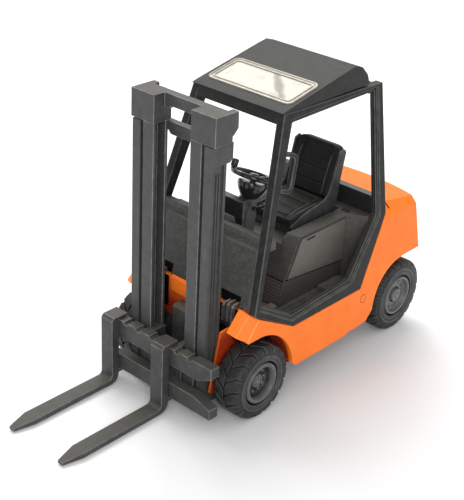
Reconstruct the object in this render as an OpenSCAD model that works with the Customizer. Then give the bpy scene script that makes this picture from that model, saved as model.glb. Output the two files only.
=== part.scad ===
// Toy counterbalance forklift, 1:25. Front towards -Y, left towards +X, ground at z = 0.
// Lengths along the truck are measured from the front axle and moved to the middle of the
// overall length at the end, so the origin lies on the ground under the middle of the box.

/* [Truck] */
// Distance from the front axle to the rear axle
wheelbase = 65; // [56:0.5:78]
// Width of the body over the sills
body_w = 49; // [46:0.5:56]
// Height of the top of the rear block at its front
block_top_z = 44.2; // [43:0.2:47]
// How far the top of the rear block falls towards the rear
block_drop = 2; // [0:0.1:3]
// Rear face of the block, behind the rear axle
rear_overhang = 10.6; // [9:0.2:14]
// How far the sides lean in for each millimetre of height
side_lean = 0.1207; // [0.08:0.0005:0.14]
// Thickness of the cast skin
skin_t = 2.4; // [1.6:0.1:3]
// Underside of the sills
sill_z = 10.6; // [9:0.1:12]
// Height of the crease above the stepped sill
crease_z = 12.4; // [11:0.1:14]
// Top of the cast deck that the floor lies on
deck_z = 21.6; // [20:0.1:22]

/* [Front wheels] */
// Radius of the front tyres
front_r = 10.8; // [9:0.1:11.5]
// Width of the front tyres
front_w = 8.7; // [7:0.1:9]
// Outer face of the front tyres, from the centre
front_face_x = 24.1; // [23.5:0.1:27]
// Radius of the front rims where the tyres sit
front_rim_r = 6.4; // [5.5:0.1:7.5]
// Radius of the steel wheel shafts
shaft_r = 1.25; // [1:0.05:1.5]

/* [Rear wheels] */
// Radius of the rear tyres
rear_r = 11.5; // [10:0.1:12]
// Width of the rear tyres
rear_w = 7.4; // [6:0.1:8.4]
// Outer face of the rear tyres, from the centre
rear_face_x = 22; // [21:0.1:24]
// Radius of the rear rims where the tyres sit
rear_rim_r = 6.7; // [5.5:0.1:7.5]
// Distance of the kingpins from the centre
kingpin_x = 11.4; // [10.4:0.1:12]
// Radius of the kingpins
kingpin_r = 0.9; // [0.7:0.05:1.2]
// Length of the steering arms
steer_arm = 6.2; // [5.5:0.1:7]

/* [Cab] */
// Top of the side frames
cab_top_z = 81.9; // [76:0.5:90]
// Thickness of the side frames
frame_t = 2.4; // [1.8:0.1:3]
// Front end of the side frames at the top
cab_front_y = 11.4; // [8:0.2:14]
// Rear end of the side frames at the top
cab_rear_y = 52.9; // [48:0.2:54]
// Height of the roof ridge over the side frames
ridge_h = 6.5; // [4:0.1:9]
// Thickness of the roof
roof_t = 1.3; // [1:0.1:2]
// Thickness of the roof window
pane_t = 0.7; // [0.5:0.05:0.9]

/* [Cabin] */
// Width of the engine hood
hood_w = 27; // [23:0.5:29]
// Top of the engine hood
hood_z = 42.2; // [40:0.1:44]
// Width of the seat cushion
seat_w = 16.2; // [13:0.2:17]
// Height of the seat back above the cushion
seat_back_h = 15.4; // [13:0.2:17]
// Depth of the seat deck below the top of the hood
seat_drop = 2.7; // [1.5:0.1:3.5]
// Middle of the steering wheel, behind the front axle
wheel_y = 20; // [18:0.2:20.4]
// Height of the steering wheel
wheel_z = 57.4; // [55:0.2:60]
// Radius of the steering wheel
wheel_r = 6.9; // [5.5:0.1:7.5]

/* [Mast] */
// Front face of the mast, ahead of the front axle
mast_front = 12.3; // [12:0.1:14]
// Depth of the mast rails
rail_d = 5.1; // [4.6:0.1:5.5]
// Outer side of the outer rails, from the centre
outer_x = 14; // [13.6:0.1:14.1]
// Width of an outer rail
outer_w = 2.8; // [2.6:0.1:3]
// Gap between the outer and inner rails
rail_gap = 1; // [0.8:0.1:1.2]
// Width of an inner rail
inner_w = 3.8; // [3.4:0.1:4]
// Thickness of the rails
rail_t = 0.9; // [0.8:0.05:1.1]
// Lower end of the rails
rail_foot_z = 4.6; // [4:0.1:6]
// Top of the mast
mast_top_z = 86.4; // [78:0.5:96]
// Height of the head blocks
head_h = 7.7; // [6:0.1:9]

/* [Forks] */
// Length of a fork from its front face to its tip
fork_l = 33.2; // [26:0.2:48]
// Width of a fork
fork_w = 4.5; // [3.6:0.1:5.5]
// Thickness of a fork's upright part
fork_t = 2.5; // [1.8:0.1:3]
// Thickness of a fork's blade
blade_t = 1.6; // [1.2:0.1:2.4]
// Half the width of the fork carriage
carriage_x = 20; // [18:0.2:22]
// Middle of the left fork, from the centre
left_fork_x = 2.75; // [2.6:0.05:3.2]
// Middle of the right fork, from the centre
right_fork_x = -16.85; // [-17:0.05:-15]

/* [Fit] */
// Gap between parts that slide on each other
slide_gap = 0.3; // [0.2:0.05:0.4]
// Radial gap of a pin in a bore
run_gap = 0.05; // [0.02:0.01:0.09]

/* [Hidden] */
$fn = 48;
eps = 0.01;
far = 200;
side_ref_z = 11.5;
rear_y = wheelbase + rear_overhang;
bar_t = 3.2;
bar_gap = 0.6;
fork_gap = 0.2;
bar_front = mast_front + bar_gap + bar_t;
fork_back = bar_front + fork_gap;
fork_front = fork_back + fork_t;
tip_y = -(fork_front + fork_l);
mid_y = (tip_y + rear_y) / 2;

// half width of the body at a height
function side_x(z) = body_w / 2 - side_lean * (z - side_ref_z);

// ---- shared construction ----

// moves the part so that its box is centred on the origin
module place() translate([0, -mid_y, 0]) children();

// draws a (y, z) outline as a solid between two x places
module across(x0, x1) translate([x0, 0, 0]) rotate([90, 0, 90]) linear_extrude(x1 - x0) children();

// draws an (x, y) outline as a solid between two heights
module upright(z0, z1) translate([0, 0, z0]) linear_extrude(z1 - z0) children();

// a box from two corners
module box(a, b) translate(a) cube(b - a);

// the same piece on both sides
module both() {
    children();
    mirror([1, 0, 0]) children();
}

// everything between the two leaning sides, with the sides moved in
module between_sides(inset) {
    low_x = side_x(0) - inset;
    high_x = side_x(100) - inset;
    rotate([90, 0, 0])
        translate([0, 0, -far])
            linear_extrude(2 * far)
                polygon([[-low_x, 0], [low_x, 0], [high_x, 100], [-high_x, 100]]);
}

// a rod along X
module rod_x(x0, x1, r) translate([x0, 0, 0]) rotate([0, 90, 0]) cylinder(h = x1 - x0, r = r);

// a rod along Y
module rod_y(y0, y1, r) translate([0, y0, 0]) rotate([-90, 0, 0]) cylinder(h = y1 - y0, r = r);

// ---- body ----

front_arch_r = front_r + 2.1;
front_arch = [-1, front_r + 1.2];
rear_arch_r = rear_r + 3.9;
rear_arch = [wheelbase - 1.8, rear_r - 0.7];
under_z = rear_r * 2 + 3.5;
bevel_z = 40.9;
rear_lean = 9.3;
rear_curve_r = 60;
fender_in_x = 17.3;
fender_low = [-5.6, 25.4];
fender_top = [-1, 30.2];
pillar_foot_y = cab_rear_y + 2;
ring_low_z = 23;
block_front_y = cab_rear_y + 0.3;
guard_gap = 0.35;
guard_t = 0.7;

deck_low_z = deck_z - 1.8;
spine_x = 6.4;
bulkhead = [[-15, -2.5, deck_low_z], [15, -0.9, 31.1]];
ledge_low_z = 24.9;
screw_x = [-14, 14];
screw_y = [16, 38];
post_r = 1.9;
screw_r = 0.75;
side_pin = [43.9, 19.5];
side_pin_r = 1;
plate_half_t = 0.6;

// outline of the side skin, from the front fender to the rear block
module side_outline() {
    difference() {
        polygon([
            fender_low, fender_top, [12.7, ring_low_z - 0.1], [42.7, ring_low_z - 0.1],
            [pillar_foot_y, block_top_z - 2], [pillar_foot_y, block_top_z], [rear_y, block_top_z],
            [rear_y, under_z], [rear_arch[0], under_z - 0.1], [wheelbase - 20, crease_z - 0.6],
            [41.9, sill_z + 1], [13.6, sill_z + 1], [11.4, crease_z], [0, front_arch[1]]
        ]);
        translate(front_arch) circle(front_arch_r);
        translate([fender_low[0] - 1, 0]) square([5, ledge_low_z]);
        translate(rear_arch) circle(rear_arch_r);
    }
}

module sill_outline() polygon([[13.7, sill_z], [35.5, sill_z], [41.6, crease_z], [11.8, crease_z]]);

// everything inside the rear face, which is rounded in plan and leans forward
module inside_rear() translate([0, rear_y - rear_curve_r, under_z])
    rotate([rear_lean, 0, 0]) translate([0, 0, -40]) cylinder(h = 80, r = rear_curve_r, $fn = 96);

// cuts the bevels along the top sides of the rear block
module top_bevels() both()
    translate([side_x(bevel_z), 0, bevel_z])
        rotate([0, -52, 0]) box([0, 20, -5], [5, far, 9]);

// everything over the falling top of the rear block
module over_top() across(-40, 40) polygon([
    [block_front_y - 5, block_top_z], [block_front_y + 1, block_top_z], [rear_y, block_top_z - block_drop],
    [rear_y + 5, block_top_z - block_drop], [rear_y + 5, far], [block_front_y - 5, far]
]);

// side skins and rear block
module shell() difference() {
    intersection() {
        between_sides(0);
        inside_rear();
        union() {
            difference() {
                across(-40, 40) side_outline();
                between_sides(skin_t);
            }
            box([-far, block_front_y, under_z], [far, rear_y, block_top_z]);
        }
    }
    top_bevels();
    over_top();
}

// block over one front wheel, with a swept front corner
module fender() {
    rear_top = [12, ring_low_z + 0.2];
    rear_low = [12, front_arch[1]];
    difference() {
        hull() {
            across(fender_in_x, fender_in_x + 0.1)
                polygon([[-8, 27.1], [-3.4, 32.3], rear_top, rear_low, [-5, 25]]);
            across(20.1, 20.2)
                polygon([[-7.4, 26.3], [-2.6, 31.2], rear_top, rear_low, [-5, 25]]);
            intersection() {
                between_sides(0);
                across(20.5, 40) polygon([fender_low, fender_top, rear_top, rear_low, [-5, 25]]);
            }
        }
        translate([0, front_arch[0], front_arch[1]]) rod_x(0, 40, front_arch_r);
        box([0, -20, 0], [40, front_arch[0], ledge_low_z]);
    }
}

// the room that the side frames of the cab take up
module frame_space() difference() {
    intersection() {
        between_sides(-1);
        across(-40, 40) polygon(ring_outer());
    }
    between_sides(frame_t);
}

module mast_guard() {
    across(outer_x + guard_gap, outer_x + guard_gap + guard_t)
        polygon([[-7.4, 25.6], [-10.8, 8.4], [-8.6, 7.6], [-6.2, 15], [-2, 19.5], [-2, 25.9], [-4, 25.9]]);
}

module body_casting() place() color("orangered") {
    difference() {
        union() {
            shell();
            intersection() {
                difference() {
                    between_sides(0.5);
                    between_sides(skin_t);
                }
                across(-40, 40) sill_outline();
            }
            both() fender();
            both() mast_guard();
            // deck under the floor
            intersection() {
                between_sides(1);
                union() {
                    box([-far, 11.9, deck_low_z], [far, 50, deck_z]);
                    box(bulkhead[0], [bulkhead[1][0], 12, deck_z]);
                }
            }
            // bulkhead between the mast and the cab
            box(bulkhead[0], bulkhead[1]);
            box([-fender_in_x - 0.2, bulkhead[0][1], ledge_low_z],
                [fender_in_x + 0.2, bulkhead[1][1], bulkhead[1][2]]);
            across(-7.8, 7.8) polygon([[-3.4, 27.6], [-3.4, 31.6], [-2.9, 32.2], [-2.6, 32.2], [-2.4, 26]]);
            // spine over the rear axle
            box([-spine_x, 49, deck_low_z], [spine_x, block_front_y + 1, deck_z]);
            box([-spine_x, block_front_y, deck_low_z], [spine_x, wheelbase + 5, under_z + 1]);
            // posts that the base plate is screwed to
            for (x = screw_x, y = screw_y) translate([x, y, sill_z + plate_half_t])
                cylinder(h = deck_z - 1 - sill_z - plate_half_t, r = post_r);
        }
        for (x = screw_x, y = screw_y) translate([x, y, sill_z]) cylinder(h = 6, r = screw_r);
        both() translate([0, side_pin[0], side_pin[1]]) rod_x(15, 40, side_pin_r);
        frame_space();
    }
}

module plate_area(a, b) box([a[0], a[1], sill_z - plate_half_t], [b[0], b[1], sill_z + plate_half_t]);

module base_plate() place() color("#2b2b2d") {
    difference() {
        union() {
            plate_area([-21.2, 13.8], [21.2, 43]);
            plate_area([-spine_x, 6.2], [spine_x, 14]);
            plate_area([-spine_x, 42], [spine_x, 58]);
        }
        for (x = screw_x, y = screw_y) translate([x, y, 0]) cylinder(h = 20, r = screw_r + 0.1);
    }
}

module base_screws() place() color("silver")
    for (x = screw_x, y = screw_y) translate([x, y, sill_z - plate_half_t]) difference() {
        union() {
            translate([0, 0, -0.7]) cylinder(h = 0.7, r = 2 * screw_r);
            cylinder(h = 5, r = screw_r);
        }
        translate([0, 0, -1]) box([-1, -0.15, 0], [1, 0.15, 0.7]);
        translate([0, 0, -1]) box([-0.15, -1, 0], [0.15, 1, 0.7]);
    }

module side_pins() place() color("orangered")
    both() translate([side_x(side_pin[1]), side_pin[0], side_pin[1]]) difference() {
        rod_x(-3, 0.15, side_pin_r);
        rod_x(-0.5, 1, side_pin_r / 2);
    }

// ---- front drive axle ----

pivot = [-3.6, 6.5];
pivot_r = 1;
lug_r = 2.4;
lug_x = outer_x - outer_w;

module axle_housing() place() color("#33322f") {
    difference() {
        union() {
            translate([0, 0, front_r]) rod_x(-11, 11, 3);
            translate([0, 0, front_r]) rod_x(-3.6, 3.6, 6);
            both() translate([3.6, 0, front_r]) rotate([0, 90, 0]) cylinder(h = 3, r1 = 6, r2 = 3);
            box([-lug_x + slide_gap, -5.4, 4.2], [lug_x - slide_gap, -1, 9]);
            across(-4, 4) polygon([
                [-6.4, 12], [-6.4, 25.2], [-5.8, 25.8], [-2.6, 25.8],
                [-2.6, deck_low_z - 0.1], [6, deck_low_z - 0.1], [6, 9], [-4, 9]
            ]);
            both() box([7.6, -3, 12], [9.6, 3, deck_low_z]);
        }
        translate([0, 0, front_r]) rod_x(-40, 40, shaft_r + run_gap);
        translate([0, pivot[0], pivot[1]]) rod_x(-40, 40, pivot_r);
    }
}

module mast_pin() place() color("silver")
    translate([0, pivot[0], pivot[1]]) rod_x(-outer_x, outer_x, pivot_r);

// three hoses from the cowl slot down to their clip, as one moulding
hose_r = 0.6;
hose_x = [12.1, 13.7, 15.3];
hose_top_z = 33.1;
hose_y = -3.5;
hose_bend = 1.1;
clip_z = [26, 27.4];

module hose_set() color("#2f2f31") {
    for (x = hose_x) translate([x, 0, 0]) {
        translate([0, 0, hose_top_z]) rod_y(hose_y + hose_bend, 1, hose_r);
        translate([0, hose_y + hose_bend, hose_top_z - hose_bend])
            rotate([90, 0, -90]) rotate_extrude(angle = 90)
                translate([hose_bend, 0]) circle(hose_r, $fn = 24);
        translate([0, hose_y, clip_z[1] - 0.1])
            cylinder(h = hose_top_z - hose_bend - clip_z[1] + 0.1, r = hose_r, $fn = 24);
    }
    box([hose_x[0] - 0.9, hose_y - 0.7, clip_z[0]], [hose_x[2] + 0.9, -2.5, clip_z[1]]);
}

module hoses_left() place() hose_set();
module hoses_right() place() mirror([1, 0, 0]) hose_set();

// ---- cab ----

a_slope = 0.277;
cowl_low_z = 31.2;
cowl_top_z = 50.5;
cowl_t = 1.4;
roof_x = side_x(cab_top_z) - 0.1;
ridge_y = cab_front_y + 28.7;
ridge_z = cab_top_z + ridge_h;
roof_front = [cab_front_y + 1.2, cab_top_z + 0.8];
roof_ridge = [ridge_y - 3, ridge_z - 0.55];
roof_slope = atan((roof_ridge[1] - roof_front[1]) / (roof_ridge[0] - roof_front[0]));
pane_in = 2.6;
pane_l = 11.7;
pane_x = 14;

function ring_outer() = [
    [cab_front_y, cab_top_z], [cab_rear_y, cab_top_z - 0.7], [pillar_foot_y, block_top_z - 1.8],
    [42.7, ring_low_z], [12.7, ring_low_z], [-2.5, cowl_low_z + 0.1]
];

// the opening, widened all round by g
function ring_inner(g) = [
    [cab_front_y + 3.8 - g, cab_top_z - 3 + g], [cab_rear_y - 3 + g, cab_top_z - 2.6 + g],
    [pillar_foot_y - 3.9 + g, block_top_z - 1.4 - g / 3], [38 + g / 2, ring_low_z + 4.2 - g],
    [12.6 - g / 3, ring_low_z + 2.8 - g], [0.7 - g, cowl_low_z + 1.7 - g / 2]
];

module cab_side() color("#45433f") difference() {
    intersection() {
        difference() {
            between_sides(0);
            between_sides(frame_t);
        }
        across(0, 40) difference() {
            polygon(ring_outer());
            polygon(ring_inner(0));
        }
    }
    intersection() {
        difference() {
            between_sides(-1);
            between_sides(0.7);
        }
        across(0, 40) polygon(ring_inner(1));
    }
}

module cab_side_left() place() cab_side();
module cab_side_right() place() mirror([1, 0, 0]) cab_side();

module in_roof_plane() translate([0, roof_front[0], roof_front[1]]) rotate([roof_slope, 0, 0]) children();

module roof() place() color("#4d4b47") {
    difference() {
        across(-roof_x, roof_x) polygon([
            [cab_front_y - 0.6, cab_top_z], [cab_front_y - 0.6, cab_top_z + 0.3], roof_front, roof_ridge,
            [ridge_y, ridge_z], [ridge_y + 3, ridge_z - 0.9], [ridge_y + 5.6, ridge_z - 3.4],
            [ridge_y + 7, cab_top_z]
        ]);
        across(-roof_x + roof_t, roof_x - roof_t) polygon([
            [cab_front_y + 3.5, cab_top_z - 1], [roof_front[0] + 2.3, cab_top_z],
            roof_ridge + [0.2, -roof_t], [ridge_y, ridge_z - roof_t], [ridge_y + 2.3, ridge_z - 0.7 - roof_t],
            [ridge_y + 4.4, ridge_z - 3 - roof_t], [ridge_y + 5.6, cab_top_z - 1]
        ]);
        in_roof_plane() box([-pane_x, pane_in, -pane_t], [pane_x, pane_in + pane_l, 5]);
        in_roof_plane() box([-pane_x + 1, pane_in + 0.8, -5], [pane_x - 1, pane_in + pane_l - 0.8, 1]);
    }
    intersection() {
        between_sides(frame_t);
        across(-20, 20) polygon([
            [cab_front_y - 0.7, cab_top_z - 3], [cab_front_y, cab_top_z + eps],
            [cab_front_y + 2.4, cab_top_z + eps], [cab_front_y + 1.8, cab_top_z - 3]
        ]);
    }
}

module roof_window() place() color("#e8e4d2", 0.5)
    in_roof_plane() box([-pane_x, pane_in, -pane_t], [pane_x, pane_in + pane_l, 0]);

module rear_bar() place() color("#45433f") intersection() {
    between_sides(frame_t);
    box([-20, cab_rear_y - 3.4, cab_top_z - 4], [20, cab_rear_y - 0.6, cab_top_z - 1.2]);
}

function cowl_y(z) = -2.5 + a_slope * (z - cowl_low_z);
function cowl_back_y(z) = cowl_y(z) + cowl_t + 0.6 * (z - cowl_low_z) / (cowl_top_z - cowl_low_z);

module cowl() place() color("#3e3c3a") difference() {
    intersection() {
        between_sides(frame_t);
        across(-25, 25) polygon([
            [cowl_y(cowl_low_z), cowl_low_z], [cowl_y(47.4), 47.4], [cowl_y(47.4) + 0.8, 47.5],
            [cowl_y(49) + 0.8, 49], [cowl_y(49) + 0.3, 49.1], [cowl_y(cowl_top_z) + 0.3, cowl_top_z],
            [cowl_back_y(cowl_top_z), cowl_top_z], [cowl_back_y(cowl_low_z), cowl_low_z]
        ]);
    }
    both() box([8.8, -10, 30], [16.2, 10, 34.6]);
    both() box([16.9, -10, 30], [40, 10, 32.1]);
}

module dash_shelf() place() color("#34332f") {
    intersection() {
        between_sides(frame_t + 0.2);
        across(-20, 20) polygon([
            [cowl_back_y(49.4), 49.4], [9.5, 47.8], [9.5, 45.4],
            [cowl_back_y(45.8), 45.8]
        ]);
    }
    across(-3.4, 3.4) polygon([[5, 48], [5.6, 51.6], [8.8, 50], [9.5, 47]]);
}

// ---- cabin ----

floor_t = 1;
floor_z = deck_z + floor_t;
mat_groove = 0.3;

module floor_pan() place() color("#3b3a35") difference() {
    union() {
        intersection() {
            between_sides(skin_t + 0.1);
            union() {
                box([-30, 12.1, deck_z], [30, 50, floor_z]);
                box([-17.2, -0.8, deck_z], [17.2, 12.1, floor_z]);
            }
        }
        both() box([14.9, -0.8, deck_z], [fender_in_x - 0.05, 12.3, 27]);
    }
    translate([0, front_arch[0], front_arch[1]]) rod_x(-40, 40, front_arch_r);
    both() for (i = [0:4]) translate([15 + i * 1.1, 13.5, floor_z - mat_groove]) cube([0.5, 17, 1]);
}

step_x = [14.8, 19.4];
step_y = [33, 42];
step_h = 1.8;

module step() color("#4a4943") difference() {
    box([step_x[0], step_y[0], floor_z], [step_x[1], step_y[1], floor_z + step_h]);
    for (i = [0:3], j = [0:6])
        translate([step_x[0] + 0.9 + i, step_y[0] + 1 + j * 1.1, floor_z + step_h - 0.2])
            rotate(i % 2 == 0 ? 40 : -40) cube([0.7, 0.25, 1], center = true);
}

module step_left() place() step();
module step_right() place() mirror([1, 0, 0]) step();

hood_x = hood_w / 2;
hood_wall = 1.2;
hood_rear = cab_rear_y;

module hood_plan(inset) {
    x = hood_x - inset;
    polygon([
        [-x, 0], [x, 0], [x, 45.5 + inset], [19.6 - inset, 50.6], [19.6 - inset, hood_rear - inset],
        [-19.6 + inset, hood_rear - inset], [-19.6 + inset, 50.6], [-x, 45.5 + inset]
    ]);
}

// the seat stands on a lower deck that runs out to the front of the hood
seat_deck_z = hood_z - seat_drop;
seat_deck_x = seat_w / 2 + 1.2;
seat_deck_rear_y = 48.2;
seam_z = 30.3;

module hood_side(inset) polygon([
    [16.9 + inset, 0], [16.9 + inset, floor_z], [19.3 + inset, 30.2], [22.6 + inset, hood_z - 1.1 - inset],
    [24.2 + inset, hood_z - inset], [hood_rear, hood_z - inset], [hood_rear, 0]
]);

// above the seam the two front corners are cut off by a slanted face
corner_y = 19.4;
corner_up = 23.3;
corner_turn = -67.1;

module hood_corners(inset) for (side = [0, 1]) mirror([side, 0, 0]) intersection() {
    translate([hood_x, corner_y, seam_z]) rotate([0, -corner_up, corner_turn])
        box([-inset, -20, -20], [12, 20, 20]);
    box([0, 0, seam_z - inset], [30, 30, hood_z + 1]);
}

module hood_body(inset, z0) difference() {
    intersection() {
        between_sides(frame_t + 0.1 + inset);
        upright(z0, hood_z - inset) hood_plan(inset);
        across(-30, 30) hood_side(inset);
    }
    box(
        [-seat_deck_x - inset, 10, seat_deck_z - inset],
        [seat_deck_x + inset, seat_deck_rear_y + inset, hood_z + 1]
    );
    hood_corners(inset);
}

module engine_hood() place() color("#3d3b36") difference() {
    hood_body(0, floor_z);
    hood_body(hood_wall, floor_z - 1);
    box([seat_deck_x + 0.7, 47, hood_z - 0.9], [hood_x - 0.6, 49, hood_z + 1]);
}

module hood_panel() color("#42403a") difference() {
    across(hood_x, hood_x + 0.5)
        polygon([[20.3, seam_z + 0.3], [45, 28.2], [45, hood_z - 0.8], [25.4, hood_z - 0.8]]);
    box([0, 27.6, hood_z - 2], [30, 31.2, hood_z - 1.3]);
}

module hood_panel_left() place() hood_panel();
module hood_panel_right() place() mirror([1, 0, 0]) hood_panel();

module rear_panel() place() color("#2f2f2c") intersection() {
    between_sides(frame_t);
    union() {
        box([-25, hood_rear - 1.6, hood_z], [25, hood_rear, hood_z + 5.2]);
        box([-25, hood_rear - 2.2, hood_z + 5.2], [25, hood_rear + 0.2, hood_z + 6]);
    }
}

seat_front_y = 27;
cushion_z = seat_deck_z + 2.7;
cushion_h = 2.4;
seat_x = seat_w / 2;
back_lean = 15;
back_t = 3.1;
back_foot = [43.4, cushion_z + cushion_h + 1.4];
tray_z = seat_deck_z + 1.8;

module seat_base() place() color("#1d1d1f")
    for (i = [0:2]) translate([0, 0, seat_deck_z + 0.6 * i]) {
        box([-seat_x + 1.1, 28.2, 0], [seat_x - 1.1, 44.8, 0.3]);
        box([-seat_x + 0.7, 27.8, 0.3], [seat_x - 0.7, 45.2, 0.6]);
    }

module seat_shell() place() color("#46453f") {
    across(-seat_x + 0.3, seat_x - 0.3) polygon([
        [seat_front_y + 0.8, tray_z], [seat_front_y + 0.3, tray_z + 0.5], [seat_front_y + 0.3, cushion_z],
        [46.6, cushion_z], [46.6, tray_z + 0.5], [45.6, tray_z]
    ]);
    translate([0, back_foot[0], back_foot[1]]) rotate([-back_lean, 0, 0])
        box([-seat_x + 0.6, back_t, -3.6], [seat_x - 0.6, back_t + 0.7, seat_back_h - 1]);
    box([-4, 46, cushion_z - 0.6], [4, 47.4, cushion_z + 1.8]);
}

module seat_cushion() place() color("#161618")
    across(-seat_x, seat_x) polygon([
        [seat_front_y + 0.2, cushion_z], [seat_front_y, cushion_z + 1.1],
        [seat_front_y + 0.7, cushion_z + cushion_h - 0.3], [seat_front_y + 2, cushion_z + cushion_h],
        [back_foot[0] - 0.4, back_foot[1] - 0.2], [45, cushion_z]
    ]);

module seat_back() place() color("#161618")
    translate([0, back_foot[0], back_foot[1]]) rotate([-back_lean, 0, 0])
        across(-seat_x, seat_x) polygon([
            [0, 0.2], [0, seat_back_h - 0.8], [0.8, seat_back_h], [2.4, seat_back_h],
            [back_t, seat_back_h - 0.7], [back_t, 0.2]
        ]);

wheel_tilt = 22;
peg_r = 0.8;
peg_l = 6;

module at_wheel() translate([0, wheel_y, wheel_z]) rotate([-wheel_tilt, 0, 0]) children();

column_x = 2.3;

module steering_column() place() color("#2c2c2e") {
    across(-column_x, column_x) polygon([
        [wheel_y - 7.4, floor_z], [wheel_y - 3.7, floor_z], [wheel_y - 0.9, wheel_z - 8.4],
        [wheel_y - 1.4, wheel_z - 5.4], [wheel_y - 3.2, wheel_z - 5.4], [wheel_y - 5, wheel_z - 9]
    ]);
    at_wheel() translate([0, 0, -peg_l]) cylinder(h = peg_l + 0.3, r = peg_r);
    at_wheel() translate([0, 0, -peg_l]) cylinder(h = peg_l - 2, r = 1.6);
}

module steering_wheel() place() color("#1b1b1d") at_wheel() {
    rotate_extrude($fn = 72) translate([wheel_r - 0.55, 0]) circle(0.55, $fn = 20);
    difference() {
        translate([0, 0, -1.4]) cylinder(h = 2.2, r = 1.7);
        translate([0, 0, -2]) cylinder(h = 2.4, r = peg_r + run_gap);
    }
    for (a = [-30, 90, 210]) rotate(a) box([1.4, -0.45, -0.3], [wheel_r - 0.5, 0.45, 0.3]);
    rotate(215) translate([wheel_r - 0.75, 0, 0]) {
        cylinder(h = 1.2, r = 0.5);
        translate([0, 0, 1.1]) cylinder(h = 1.8, r = 0.95);
    }
}

console_z = 49.6;

module lever_console() place() color("#2f2f31")
    across(-12.4, -7.2) polygon([
        [9.5, 45.4], [9.5, 48.4], [11, console_z], [15.2, console_z], [15.6, console_z - 0.6],
        [15.6, 46.6], [13.4, 45]
    ]);

module lever(base, lean_x, lean_y, l) translate(base) rotate([lean_y, lean_x, 0]) {
    cylinder(h = l, r = 0.32, $fn = 24);
    translate([0, 0, l - 0.2]) cylinder(h = 1.6, r = 0.7, $fn = 24);
}

module levers() place() color("#1b1b1d") {
    for (i = [0:2]) lever([-8.2 - 1.7 * i, 13, console_z], -4, -10, 4.4);
    // the direction lever grows from a round boss on the side of the column
    translate([0, wheel_y - 2.4, wheel_z - 8.2]) rod_x(column_x, column_x + 0.9, 0.6);
    lever([column_x + 0.5, wheel_y - 2.4, wheel_z - 8.2], 58, 0, 4.8);
}

module pedals() place() color("#1b1b1d") for (x = [-5.4, 4.2]) translate([x, 4.4, floor_z]) {
    across(-0.3, 0.3) polygon([[0, 0], [1, 0], [1.6, 2.2], [0.8, 2.6]]);
    across(-1.1, 1.1) polygon([[-0.6, 2.2], [1.8, 1.4], [2, 2], [-0.4, 2.8]]);
}

// the looped grip on the rear side of the left front pillar
handle_l = 10.6;
handle_out = 4.9;
handle_t = 1.15;
handle_z = 61.4;

module loop_outline(inset) {
    r = 2.1 - inset;
    u = handle_out - inset;
    lo = inset;
    hi = handle_l - inset;
    square_lo = lo + r;
    translate([-0.3, lo]) square([u - r + 0.3, hi - lo]);
    translate([-0.3, square_lo]) square([u + 0.3, hi - lo - 2 * r]);
    for (z = [square_lo, hi - r]) translate([u - r, z]) circle(r);
}

module grab_handle() place() color("#45433f") intersection() {
    difference() {
        between_sides(0.5);
        between_sides(frame_t - 0.4);
    }
    across(0, 40) intersection() {
        polygon(ring_inner(0));
        translate([pillar_back_y(handle_z), handle_z]) rotate(-atan(pillar_back_slope)) difference() {
            loop_outline(0);
            translate([-0.4, 0]) loop_outline(handle_t);
        }
    }
}

pillar_back_slope = (ring_inner(0)[0][0] - ring_inner(0)[5][0]) / (ring_inner(0)[0][1] - ring_inner(0)[5][1]);
function pillar_back_y(z) = ring_inner(0)[5][0] + pillar_back_slope * (z - ring_inner(0)[5][1]);

// ---- mast ----

rail_rear = mast_front - rail_d;
outer_top_z = mast_top_z - head_h - slide_gap;
inner_top_z = mast_top_z - head_h;
inner_x = outer_x - outer_w - rail_gap;
tongue_y0 = -mast_front + rail_t + slide_gap;
tongue_y1 = -rail_rear - rail_t - slide_gap;
web_out = 0.5;
web_t = 0.8;
bracket_h = 5.1;
bracket_d = 2.2;
outer_bar_z = outer_top_z - 3.5;

module outer_rail() color("#55565a") difference() {
    union() {
        upright(rail_foot_z, outer_top_z) {
            translate([outer_x - outer_w, -mast_front]) square([outer_w, rail_t]);
            translate([outer_x - outer_w, -rail_rear - rail_t]) square([outer_w, rail_t]);
            translate([outer_x - web_out - web_t, -mast_front]) square([web_t, rail_d]);
        }
        for (y = [-10.4, -9.5]) box([outer_x - web_out - eps, y, 9], [outer_x - 0.2, y + 0.4, 71]);
        for (z = [[rail_foot_z, 8], [outer_top_z - bracket_h, outer_top_z]])
            box([outer_x - web_out - eps, -mast_front, z[0]], [outer_x, -rail_rear, z[1]]);
        across(outer_x - outer_w, outer_x) polygon([
            [-rail_rear - eps, outer_top_z], [-rail_rear + bracket_d, outer_top_z],
            [-rail_rear + bracket_d, outer_top_z - 4], [-rail_rear + 1.2, outer_top_z - bracket_h],
            [-rail_rear - eps, outer_top_z - bracket_h]
        ]);
        across(lug_x, outer_x - 0.1) polygon([
            [-rail_rear - eps, rail_foot_z], [-rail_rear - eps, 13], [pivot[0] + 1.6, pivot[1] + 1.8],
            [pivot[0], pivot[1]], [pivot[0] - 1, pivot[1] - 2.1]
        ]);
        translate([0, pivot[0], pivot[1]]) rod_x(lug_x, outer_x - 0.1, lug_r);
    }
    translate([0, pivot[0], pivot[1]]) rod_x(0, 40, pivot_r + run_gap);
}

module outer_rail_left() place() outer_rail();
module outer_rail_right() place() mirror([1, 0, 0]) outer_rail();

module outer_top_bar() place() color("#55565a")
    difference() {
        box([-lug_x, -rail_rear + slide_gap, outer_bar_z], [lug_x, -rail_rear + bracket_d, outer_top_z]);
        both() translate([lug_x - 2.6, 0, outer_bar_z])
            rotate([0, 45, 0]) box([-2, -20, -2], [0, 0, 0]);
    }

module outer_low_bar() place() color("#55565a")
    box([-lug_x, -rail_rear + slide_gap, rail_foot_z], [lug_x, -rail_rear + 1.4, 8]);

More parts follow.
